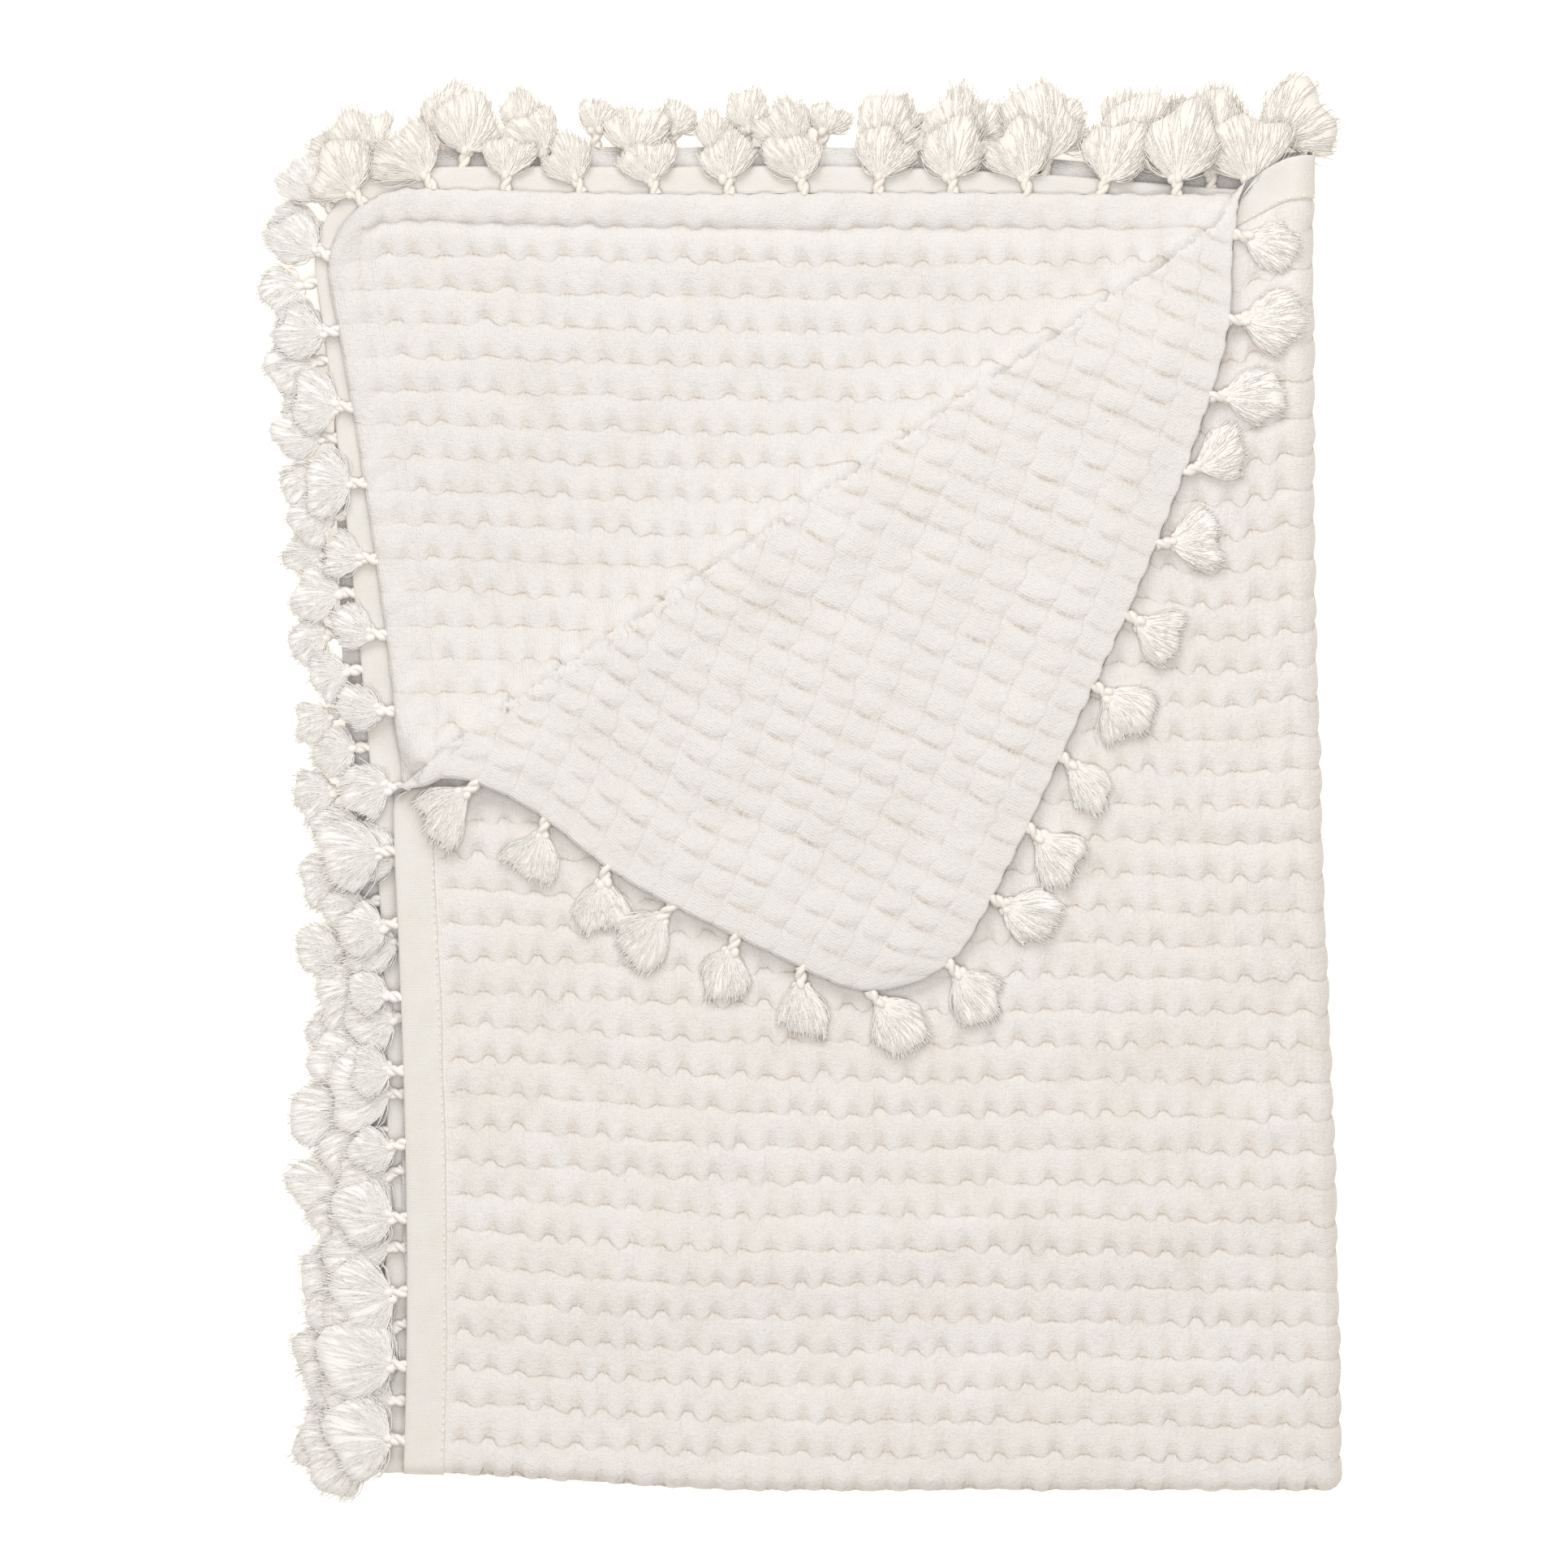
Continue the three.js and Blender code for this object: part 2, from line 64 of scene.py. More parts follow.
# The layers lie a pitch apart round the two folds. The right fold leans in towards the top, and the bottom
# fold lifts towards the left. The hem lies higher by the tape under it. The stack lofts in soft waves
# inside its open edges, and settles at them.
LAYER_PITCH = 5.4
BOTTOM_FOLD_RADIUS = LAYER_PITCH / 2
RIGHT_FOLD_RADIUS = LAYER_PITCH
MIDDLE_Z = CLOTH_THICK / 2 + 1.5 * LAYER_PITCH
RIGHT_LEAN, LEAN_END = 10.5, 0.8
BOTTOM_LIFT, LIFT_START = 6.7, 0.6
HEM_RISE, HEM_RAMP = 2 * CLEARANCE + FACING_THICK, 26.0
LOFT = 0.09
LOFT_WAVE = {"share": 0.6, "along_x": 47.0, "phase_x": -1.19, "along_y": 58.0, "phase_y": -3.63}
LOFT_FADE = {"width": 0.2, "length": 0.15}
EDGE_SETTLE = 0.14

# How each layer's open edges stray from the true quarter: the left edge at the bottom fold, at half
# height and at the top, and the top edge at the right fold, halfway along and at the left.
FIRST, SECOND, THIRD, FOURTH = range(4)
STRAYS = np.array([
    [0, 3, -8, 15, 16, -10],
    [0, 8.6, -27, 2, 3.5, -3],
    [-13, -4.5, -31, 2, 13, 3],
    [-13, -14.5, -20, 15, 16, 6],
])
FOLD_REACH = 0.08

# The crease runs over a roll, and the flap falls from it to its rest, past a slight ridge. The top layer
# sinks beside the crease, and the second layer puffs up to the roll, with a lip along it. The crease
# wanders a little, its left tip is tucked in, and the cloth stays down by the right fold.
CREASE_LEFT, CREASE_RIGHT = np.array([-362.0, 279.6]), np.array([-33.0, 502.4])
ROLL_LEFT, ROLL_MIDDLE, ROLL_RIGHT = 3.8, 2.4, 2.4
FLAP_REST, FALL_START, FALL_END = 4.5, 6.0, 40.0
RIDGE, RIDGE_TOP, RIDGE_END = 0.4, 16.0, 46.0
CREASE_SINK, SINK_REACH = 1.4, 18.0
PUFF, PUFF_START, PUFF_TOP, PUFF_REACH, PUFF_END = 4.8, -3.0, 2.0, 27.0, 0.025
PUFF_LIP, LIP_WIDTH = 4.0, 6.0
CREASE_WANDER, WANDER_STEP, WANDER_REACH = 1.6, 19.0, 20.0
CORNER_HOLD, HOLD_RANGE = 14.0, 24.0
TIP_TUCK, TIP_REACH = 5.0, 20.0

# The left edge of the first layer is drawn in at a share of its height, and that of the second is drawn
# out. The first layer's top edge is gathered at the crease's right end, and the flap's edge is drawn open
# and lifted at the left end, where the roll has its mouth.
ARCH_DRAW, ARCH_PLACE, ARCH_REACH = 11.0, 0.64, 0.075
SHOW_DRAW, SHOW_PLACE, SHOW_REACH = 8.0, 0.24, 0.15
GATHER, GATHER_PLACE, GATHER_REACH = 10.0, 38.0, 26.0
MOUTH_RUN, MOUTH_REACH, MOUTH_DEPTH, MOUTH_DRAW, MOUTH_LIFT = 12.0, 13.0, 26.0, 9.0, 2.0

# Soft folds in what shows of the cloth: the part, the two ends of the fold's line, its half width and
# its height, which is below zero for a trough.
OPEN, FLAP, UNDER = range(3)
SOFT_FOLDS = [
    (OPEN, (-300, 83), (0, 115), 16, 1.7),
    (OPEN, (-316, 45), (0, 61), 14, -1.0),
    (OPEN, (-83, 257), (0, 253), 6, -0.7),
    (OPEN, (-83, 265), (0, 261), 6, 0.6),
    (OPEN, (-99, 173), (0, 174), 6, 0.7),
    (OPEN, (-108, 142), (0, 145), 6, 0.7),
    (FLAP, (-131, 393), (-272, 313), 9, -0.8),
    (FLAP, (-163, 365), (-224, 325), 7, -0.8),
    (FLAP, (-185, 246), (-249, 265), 10, -0.7),
    (UNDER, (-364, 489), (-326, 461), 10, -0.6),
    (UNDER, (-335, 492), (-45, 497), 7, -0.9),
]

cloth_low, cloth_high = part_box("waffle_cloth")
FOLD_CORNER = np.array([
    cloth_high.x / MM - BOTTOM_FOLD_RADIUS - CLOTH_THICK / 2,
    cloth_low.y / MM + CLOTH_THICK / 2,
    0,
])


def smooth(low, high, value):
    """A soft step from 0 at low to 1 at high."""
    share = np.clip((value - low) / (high - low), 0, 1)
    return share * share * (3 - 2 * share)


def bell(distance, width):
    """A soft hump that is 1 at no distance and fades over about a width."""
    return np.exp(-((distance / width) ** 2))


def drift(u, v, seed):
    """A smooth random field from -1 to 1 that changes over about one unit of u and v."""
    size = 128
    field = np.random.default_rng(seed).uniform(-1, 1, (size, size))
    i, j = np.floor(u).astype(int), np.floor(v).astype(int)
    f, g = smooth(0, 1, u - i), smooth(0, 1, v - j)
    low = field[i % size, j % size] * (1 - f) + field[(i + 1) % size, j % size] * f
    high = field[i % size, (j + 1) % size] * (1 - f) + field[(i + 1) % size, (j + 1) % size] * f
    return low * (1 - g) + high * g


def round_fold(distance, radius):
    """How far in from a fold, how far round from its middle plane, and the angle that it has turned."""
    angle = np.minimum(distance / radius, math.pi / 2)
    inward = radius * (1 - np.cos(angle)) + np.maximum(0, distance - radius * math.pi / 2)
    return inward, radius * np.sin(angle), angle


def past_crease(x, y, u):
    """How far a place of the top layer lies beyond the crease, and its share of the way along it."""
    along = CREASE_RIGHT - CREASE_LEFT
    run = np.hypot(*along)
    along = along / run
    from_x, from_y = x - CREASE_LEFT[0], y - CREASE_LEFT[1]
    past = from_y * along[0] - from_x * along[1] - CORNER_HOLD * bell(u, HOLD_RANGE)
    share = np.clip((from_x * along[0] + from_y * along[1]) / run, 0, 1)
    return past, share, along


def roll_radius(share):
    """The radius of the crease's roll by the share of the way along it."""
    ends = np.where(share < 0.5, ROLL_LEFT, ROLL_RIGHT)
    return ROLL_MIDDLE + (ends - ROLL_MIDDLE) * (2 * share - 1) ** 2


def turned_back(x, y, u):
    """Where the turned-back corner carries the top layer: over a roll, then down on its own layer."""
    past, share, along = past_crease(x, y, u)
    run = share * np.hypot(*(CREASE_RIGHT - CREASE_LEFT))
    past = past + TIP_TUCK * bell(run, TIP_REACH)
    past = past + CREASE_WANDER * bell(past, WANDER_REACH) * drift(run / WANDER_STEP, run * 0, 64)
    radius = roll_radius(share)
    angle = past / radius
    beyond = past - math.pi * radius
    rolling = angle < math.pi
    reach = np.where(rolling, radius * np.sin(angle), -beyond) - past
    rest = FLAP_REST + (2 * radius - FLAP_REST) * (1 - smooth(FALL_START, FALL_END, beyond))
    rest = rest + RIDGE * smooth(0, RIDGE_TOP, beyond) * (1 - smooth(RIDGE_TOP, RIDGE_END, beyond))
    height = np.where(rolling, radius * (1 - np.cos(angle)), rest)
    mouth = bell(run - MOUTH_RUN, MOUTH_REACH) * bell(HALF_WIDTH - u, MOUTH_DEPTH)
    mouth = mouth * smooth(math.pi / 2, math.pi * 1.5, angle)
    reach = reach + MOUTH_DRAW * mouth
    height = height + MOUTH_LIFT * mouth
    moved = past > 0
    sunk = CREASE_SINK * bell(np.where(rolling, past, beyond), SINK_REACH)
    return (
        np.where(moved, x - along[1] * reach, x),
        np.where(moved, y + along[0] * reach, y),
        np.where(moved, height, 0) - sunk,
        angle,
    )


def puffed(x, y, u):
    """How far the second layer puffs up against the roll of the crease."""
    past, share, _ = past_crease(x, y, u)
    away = np.maximum(0, past - PUFF_TOP)
    lip = PUFF_LIP + 2 * (roll_radius(share) - ROLL_MIDDLE)
    rise = PUFF * bell(away, PUFF_REACH) + lip * bell(away, LIP_WIDTH)
    ends = smooth(0, PUFF_END, share) * smooth(0, PUFF_END, 1 - share)
    return rise * ends * smooth(PUFF_START, PUFF_TOP, past)


def layer_of(a, b):
    """Which layer flat points lie in."""
    return np.where(a < 0, np.where(b < 0, SECOND, FIRST), np.where(b < 0, THIRD, FOURTH))


def soft_folds(x, y, layer, angle):
    """How far the soft folds raise places of the folded cloth."""
    top_part = np.where(angle > math.pi / 2, FLAP, OPEN)
    part = np.where(layer == FIRST, top_part, np.where(layer == SECOND, UNDER, -1))
    raised = np.zeros_like(x)
    for own, start, end, width, height in SOFT_FOLDS:
        line = np.subtract(end, start)
        run = np.hypot(*line)
        line = line / run
        along = ((x - start[0]) * line[0] + (y - start[1]) * line[1]) / run
        aside = (y - start[1]) * line[0] - (x - start[0]) * line[1]
        window = smooth(-0.2, 0.2, along) * (1 - smooth(0.8, 1.2, along))
        raised += (part == own) * height * window * bell(aside, width)
    return raised


def folded(a, b):
    """Places of flat points in the folded blanket, and how far round the crease the top layer has turned."""
    u, v = np.abs(a), np.abs(b)
    length = np.where(b < 0, INNER_LENGTH, OUTER_LENGTH)
    layer = layer_of(a, b)
    left_fold, left_middle, left_top, top_fold, top_middle, top_left = STRAYS[layer].T
    across, along = u / HALF_WIDTH, v / length
    bottom_in, bottom_across, _ = round_fold(v, BOTTOM_FOLD_RADIUS)
    right_in, right_across, right_angle = round_fold(u, RIGHT_FOLD_RADIUS)
    outward = np.sign(b) * bottom_across
    left_stray = (
        left_fold * (1 - along) * (1 - 2 * along)
        + left_middle * 4 * along * (1 - along)
        + left_top * along * (2 * along - 1)
    )
    drawn_in = ARCH_DRAW * bell(along - ARCH_PLACE, ARCH_REACH)
    drawn_out = SHOW_DRAW * bell(along - SHOW_PLACE, SHOW_REACH)
    arch = np.where(layer == FIRST, drawn_in, 0) - np.where(layer == SECOND, drawn_out, 0)
    top_stray = (
        top_fold * bell(across, FOLD_REACH)
        + top_middle * 4 * across * (1 - across)
        + top_left * across ** 2
        - np.where(layer == FIRST, GATHER, 0) * bell(u - GATHER_PLACE, GATHER_REACH)
    )
    x = outward * np.cos(right_angle) - right_in - RIGHT_LEAN * smooth(0, LEAN_END, along)
    x = x + across * left_stray + across ** 2 * arch
    y = bottom_in + BOTTOM_LIFT * smooth(LIFT_START, 1, across) + along ** 3 * top_stray
    turned_x, turned_y, height, angle = turned_back(x, y, u)
    top = layer == FIRST
    x, y = np.where(top, turned_x, x), np.where(top, turned_y, y)
    height = np.where(top, height, np.where(layer == SECOND, puffed(x, y, u), 0))
    angle = np.where(top, angle, -1)
    upward = np.where(a < 0, 1, -1)
    bare_z = MIDDLE_Z + upward * (right_across + outward * np.sin(right_angle)) - CLOTH_THICK / 2
    wave = np.sin(x / LOFT_WAVE["along_x"] + LOFT_WAVE["phase_x"])
    wave = wave * np.sin(y / LOFT_WAVE["along_y"] + LOFT_WAVE["phase_y"])
    open_share = smooth(0, LOFT_FADE["width"], 1 + x / HALF_WIDTH)
    open_share = open_share * smooth(0, LOFT_FADE["length"], 1 - y / OUTER_LENGTH)
    loft = 1 + LOFT * open_share * (1 + LOFT_WAVE["share"] * wave) - EDGE_SETTLE * (1 - open_share)
    inside = np.minimum(HALF_WIDTH - u, length - v)
    hem = HEM_RISE * (1 - smooth(FACING_WIDTH, FACING_WIDTH + HEM_RAMP, inside))
    z = CLOTH_THICK / 2 + bare_z * loft + height + hem + soft_folds(x, y, layer, angle)
    return np.stack([x, y, z], axis=-1), angle


PROBE = 0.3


def placed(a, b, offset):
    """Folded places of flat points, offset towards the outer side of the cloth."""
    along_a = folded(a + PROBE, b)[0] - folded(a - PROBE, b)[0]
    along_b = folded(a, b + PROBE)[0] - folded(a, b - PROBE)[0]
    normal = np.cross(along_a, along_b)
    normal /= np.linalg.norm(normal, axis=-1, keepdims=True)
    return folded(a, b)[0] + normal * np.asarray(offset)[..., None]


# The weave: columns and rows of pockets, each row bulging over a scalloped groove above the next. Flat
# tabs lie between the pockets at their lips, where the open weave shows as hatching; the hatch colour is
# also painted shade in all the low places, and the grooves get painted shadow lines. The mesh has lines
# across and along a pocket, closer at its sides and at its lip. Pockets fill up beside the crease on
# the second layer.
COLUMNS, ROWS = 66, 76
COLUMN = 2 * HALF_WIDTH / COLUMNS
ACROSS = np.array([0, 0.14, 0.3, 0.5, 0.7, 0.86])
ALONG = np.array([0, 0.06, 0.2, 0.38, 0.57, 0.75, 0.88, 0.95])
POCKET_HEIGHT = 1.2
SCALLOP = 2.5
SAG = 0.9
LIP_REACH = 0.15
ROW_TILT, TILT_FULL, TILT_FADE, TILT_NONE = 0.01, 60.0, 430.0, 500.0
HEM_PAD = 1.2
CREASE_FILL = 7.0
SEAM_INSET = 14.5
FACE_A, FACE_B = 0, 1

row_edges = np.concatenate([
    np.linspace(-INNER_LENGTH, 0, ROWS // 2 + 1),
    np.linspace(0, OUTER_LENGTH, ROWS // 2 + 1)[1:],
])
column_edges = np.linspace(-HALF_WIDTH, HALF_WIDTH, COLUMNS + 1)

# Pockets that show are meshed finely: on the outer side of the top layer outside the flap, on the
# inner side of the flap, on the second layer beyond the crease, and round the roll and the folds. The
# limits are in radians round the roll, and in millimetres beyond the crease for the second layer.
ROLL_MARGIN, OPEN_LIMIT, FLAP_START, UNDER_START = 0.8, 0.7, -3.4, -24.0
centre_a, centre_b = np.meshgrid(
    (column_edges[:-1] + column_edges[1:]) / 2, (row_edges[:-1] + row_edges[1:]) / 2, indexing="ij"
)
centres, turn = folded(centre_a.ravel(), centre_b.ravel())
turn = turn.reshape(centre_a.shape)
centres = centres.reshape(*centre_a.shape, 3)
layers = layer_of(centre_a, centre_b)
on_flap = (layers == FIRST) & (turn > math.pi / 2)
flap_places = centres[on_flap][:, :2]
COVER_REACH, COVER_COUNT = 20.0, 8
gaps = np.linalg.norm(centres[:, :, None, :2] - flap_places, axis=-1)
covered = (gaps < COVER_REACH).sum(-1) >= COVER_COUNT
beyond = past_crease(centres[..., 0], centres[..., 1], np.abs(centre_a))[0]
rolling = (layers == FIRST) & (turn > -ROLL_MARGIN) & (turn < math.pi + ROLL_MARGIN)
by_right_fold = np.abs(centre_a) < COLUMN
by_bottom_fold = np.abs(centre_b) < OUTER_LENGTH / ROWS * 2
fine = np.zeros((2, COLUMNS, ROWS), bool)
fine[FACE_A] = (layers == FIRST) & (turn < OPEN_LIMIT) & ~covered | rolling
fine[FACE_A] |= by_right_fold & (centre_b > 0) | by_bottom_fold
fine[FACE_B] = (layers == FIRST) & (turn > FLAP_START) | (layers == SECOND) & (beyond > UNDER_START)
fine_across = fine | by_right_fold
fine_along = fine | by_bottom_fold


def cut_lines(own):
    """Which cell edges across and along a face are cut into fine steps, by either cell beside them."""
    wide = np.pad(fine_across[own], ((0, 0), (1, 1)))
    long = np.pad(fine_along[own], ((1, 1), (0, 0)))
    return wide[:, :-1] | wide[:, 1:], long[:-1] | long[1:]


lines = [cut_lines(FACE_A), cut_lines(FACE_B)]
for across_a, across_b, rims in [
    (lines[FACE_A][0], lines[FACE_B][0], (slice(None), [0, -1])),
    (lines[FACE_A][1], lines[FACE_B][1], ([0, -1], slice(None))),
]:
    across_a[rims] = across_b[rims] = across_a[rims] | across_b[rims]

STEPS_ACROSS, STEPS_ALONG = len(ACROSS), len(ALONG)
POINTS_ALONG = ROWS * STEPS_ALONG + 1


def point_number(p, q):
    """The number of a point of a face by its lines across and along."""
    return p * POINTS_ALONG + q


def cell_polygons(own, i, j):
    """The polygons of one pocket of a face, as point numbers, anticlockwise in flat coordinates."""
    across, along = lines[own]
    p0, q0 = i * STEPS_ACROSS, j * STEPS_ALONG
    p1, q1 = p0 + STEPS_ACROSS, q0 + STEPS_ALONG
    columns = range(p0, p1 + 1) if fine_across[own, i, j] else [p0, p1]
    rows = range(q0, q1 + 1) if fine_along[own, i, j] else [q0, q1]
    for low_p, high_p in zip(columns, columns[1:]):
        for low_q, high_q in zip(rows, rows[1:]):
            step = 1 if low_q == q0 and across[i, j] else high_p - low_p
            polygon = [point_number(p, low_q) for p in range(low_p, high_p, step)]
            step = 1 if high_p == p1 and along[i + 1, j] else high_q - low_q
            polygon += [point_number(high_p, q) for q in range(low_q, high_q, step)]
            step = 1 if high_q == q1 and across[i, j + 1] else high_p - low_p
            polygon += [point_number(p, high_q) for p in range(high_p, low_p, -step)]
            step = 1 if low_p == p0 and along[i, j] else high_q - low_q
            polygon += [point_number(low_p, q) for q in range(high_q, low_q, -step)]
            yield polygon


def rim_points():
    """Point numbers round the rim of a face, anticlockwise in flat coordinates."""
    across, along = lines[FACE_A]
    last_p, last_q = COLUMNS * STEPS_ACROSS, ROWS * STEPS_ALONG

    def places(cells, steps):
        return [i * steps + k for i, cut in enumerate(cells) for k in (range(steps) if cut else [0])]

    return (
        [point_number(p, 0) for p in places(across[:, 0], STEPS_ACROSS)]
        + [point_number(last_p, q) for q in places(along[-1], STEPS_ALONG)]
        + [point_number(last_p - p, last_q) for p in places(across[::-1, -1], STEPS_ACROSS)]
        + [point_number(0, last_q - q) for q in places(along[0, ::-1], STEPS_ALONG)]
    )


def round_corner(a, b):
    """Draws the corners of the flat rectangle in to their rounding."""
    length = np.where(b < 0, INNER_LENGTH, OUTER_LENGTH)
    p = np.maximum(0, (np.abs(a) - HALF_WIDTH) / CORNER_RADIUS + 1)
    q = np.maximum(0, (np.abs(b) - length) / CORNER_RADIUS + 1)
    drawn_a = np.abs(a) + CORNER_RADIUS * p * (np.sqrt(np.maximum(0, 1 - q * q / 2)) - 1)
    drawn_b = np.abs(b) + CORNER_RADIUS * q * (np.sqrt(np.maximum(0, 1 - p * p / 2)) - 1)
    return np.sign(a) * drawn_a, np.sign(b) * drawn_b


def waffle_face(own, numbers):
    """Points of a face of the cloth with its pockets, their weave coordinates, their painted shade in low
    places and painted shadow lines in grooves.
    """
    p, q = numbers // POINTS_ALONG, numbers % POINTS_ALONG
    i, j = np.minimum(p // STEPS_ACROSS, COLUMNS - 1), np.minimum(q // STEPS_ALONG, ROWS - 1)
    s = np.append(ACROSS, 1)[p - i * STEPS_ACROSS]
    step = q - j * STEPS_ALONG
    t = np.append(ALONG, 1)[step if own == FACE_B else STEPS_ALONG - step]
    down = 1 if own == FACE_B else -1
    flat_t = t if own == FACE_B else 1 - t
    a = column_edges[i] + s * COLUMN
    b = row_edges[j] + flat_t * (row_edges[j + 1] - row_edges[j])
    u, v = i + s, j + flat_t
    inset = np.minimum(HALF_WIDTH - np.abs(a), np.where(b < 0, INNER_LENGTH, OUTER_LENGTH) - np.abs(b))
    free = smooth(0, 24, inset)

    shown = np.pad(fine[own].astype(float), 1, mode="edge")
    at_corners = np.minimum.reduce([shown[:-1, :-1], shown[1:, :-1], shown[:-1, 1:], shown[1:, 1:]])
    left = at_corners[i, j] * (1 - flat_t) + at_corners[i, j + 1] * flat_t
    right = at_corners[i + 1, j] * (1 - flat_t) + at_corners[i + 1, j + 1] * flat_t
    shown = left * (1 - s) + right * s

    from_side = HALF_WIDTH - np.abs(a)
    padded = np.where((a < 0) & (b > 0), 0, 1)
    if own == FACE_A:
        hem = smooth(FACING_WIDTH - 1, FACING_WIDTH + 3, inset)
    else:
        hem = 1 - (0.45 + 0.2 * padded) * (1 - smooth(4 + 4 * padded, 14 + 6 * padded, inset))
    full = shown * hem
    side = np.minimum(s, 1 - s)
    spots, turned = folded(a, b)
    past = past_crease(spots[:, 0], spots[:, 1], np.abs(a))[0]
    layer = layer_of(a, b)
    filled = (layer == SECOND) * bell(past, CREASE_FILL)
    if own == FACE_A:
        # The outer side has no room for pockets inside the roll and under the flap.
        full = full * (1 - (layer == FIRST) * smooth(-2, -0.5, turned))
    flap = smooth(1.4, 2.6, turned) if own == FACE_B else np.zeros_like(a)
    # Low places: the groove between rows, the tabs at the lip, and the grooves at a pocket's sides.
    row_groove = np.abs(2 * t - 1) ** 3.5 * (0.35 + 0.65 * bell(side, 0.22)) * (1 - 0.4 * flap)
    tab = smooth(0.45, 0.85, t) * bell(side, 0.04 + 0.2 * smooth(0.5, 1, t))
    side_groove = 0.35 * bell(side, 0.08)
    flap_groove = 0.27 + 0.22 * drift(u * 0.9, v * 0.9, 57)
    flap_groove = flap_groove * np.where(s < 0.5, bell(s, 0.1), bell(1 - s, 0.32))
    sides = side_groove + flap * (flap_groove - side_groove)
    share = (1 - row_groove) * (1 - (0.8 - 0.6 * flap) * tab) * (1 - sides)
    # Pockets stand higher and lower from one to the next, in patches, and within themselves.
    lively = 1 + 0.4 * drift(u * 0.9, v * 0.9, 11 + own) + 0.25 * drift(u / 4, v / 3, 13 + own)
    lively = lively + 0.35 * drift(u * 2.3, v * 1.7, 15 + own)
    relief = POCKET_HEIGHT * full * (share * lively * (1 - filled) + filled)

    # Rows are scalloped and lip over the next one. Their lines wander, and on the flap the sides sag.
    bulge = (smooth(0.1, 0.42, side) - 0.5) * (1 - 0.45 * flap) * (0.75 if own == FACE_B else 1)
    uneven = 1 + 0.8 * drift(u * 1.3, v, 21 + own)
    b = b + down * full * SCALLOP * bulge * (1 - 0.5 * np.sin(math.pi * t)) * uneven
    b = b + down * full * LIP_REACH * np.interp(t, [0.75, 0.97, 1], [0, 1, 0])
    wander = 1.1 * drift(u / 6, v / 4, 31 + own) + 0.8 * drift(u, v, 33 + own)
    b = b + free * (wander + 0.5 * drift(u * 3, v, 35))
    a = a + free * (0.9 * drift(u / 5, v / 5, 41 + own) + 0.7 * drift(u, v, 43 + own))
    a = a - full * flap * SAG * (np.sin(math.pi * t) ** 0.8 - 0.5)
    tilt = ROW_TILT * smooth(0, TILT_FULL, b) * (1 - smooth(TILT_FADE, TILT_NONE, b))
    b = b - tilt * (HALF_WIDTH / 2 + np.minimum(a, 0))
    a, b = round_corner(a, b)

    # The hem is padded between its seam and the edge and puckers there, but not on the top layer.
    pad = HEM_PAD * (np.sin(math.pi * np.clip(inset / SEAM_INSET, 0, 1)) ** 0.7)
    pad = pad - HEM_PAD * bell(inset - SEAM_INSET, 1.8)
    run = np.where(from_side < FACING_WIDTH, b + 0.5 * inset, a + 0.5 * inset)
    pad = padded * (pad + 0.9 * smooth(20, 10, inset) * drift(run / 6, inset / 9, 36))
    thick = CLOTH_THICK / 2 * (1 - 0.3 * np.exp(-inset / 0.8))
    offset = thick + relief + (shown * pad if own == FACE_B else 0)
    points = placed(a, b, offset if own == FACE_A else -offset)
    points[:, 2] = np.maximum(points[:, 2], 0)
    # Painted shade: the low places and the tabs are darkened and hatched, partly the open weave showing
    # there.
    low_shade_and_hatch = full * np.maximum(bell(share * lively, 0.4), 0.9 * tab * (1 - 0.5 * flap))
    # Painted shadow: dark lines in the grooves under the lips, broken into dashes, and on the flap dark
    # lines along the pockets' sides that face away from the light there.
    dash = np.where(s < 0.5, 1.05, 0.75) * bell(side, 0.3)
    dash = dash + 0.1 + 0.55 * drift(u * 1.7, v * 1.3, 53 + own)
    groove_shadow = (1 - 0.7 * flap) * ((t == 0) | (t == 1)) * np.clip(dash, 0, 1)
    dash = 0.8 * np.sin(math.pi * t) - 0.25 + 0.6 * drift(u * 1.3, v * 1.9, 55 + own)
    groove_shadow = full * np.maximum(groove_shadow, flap * ((s == 0) | (s == 1)) * np.clip(dash, 0, 1))
    weave = np.stack([u, v if own == FACE_B else ROWS - v], axis=-1)
    tone = 0.5 + 0.5 * drift(u * 0.9, v * 0.9, 51 + own)
    inner = np.full(len(u), float(own == FACE_B))
    return points, weave, low_shade_and_hatch, groove_shadow, tone, inner


def mesh_of(name, points, polygons):
    """A smooth mesh of folded points in millimetres and the polygons between them."""
    mesh = bpy.data.meshes.new(name)
    mesh.from_pydata(((points + FOLD_CORNER) * MM).tolist(), [], polygons)
    mesh.shade_smooth()
    return mesh


def piece_of(name, mesh):
    """An object with a mesh, linked to the scene."""
    piece = bpy.data.objects.new(name, mesh)
    bpy.context.scene.collection.objects.link(piece)
    return piece


def set_attributes(mesh, values):
    """Stores named numbers or vectors for each point of a mesh."""
    for name, own in values.items():
        kind, field = ("FLOAT_VECTOR", "vector") if own.ndim == 2 else ("FLOAT", "value")
        mesh.attributes.new(name, kind, "POINT").data.foreach_set(field, np.ravel(own))


def set_weave(mesh, weave):
    """Stores each point's weave coordinates as the mesh's UV map."""
    points = np.zeros(len(mesh.loops), np.int32)
    mesh.loops.foreach_get("vertex_index", points)
    mesh.uv_layers.new(name="weave").data.foreach_set("uv", weave[points].astype(np.float32).ravel())


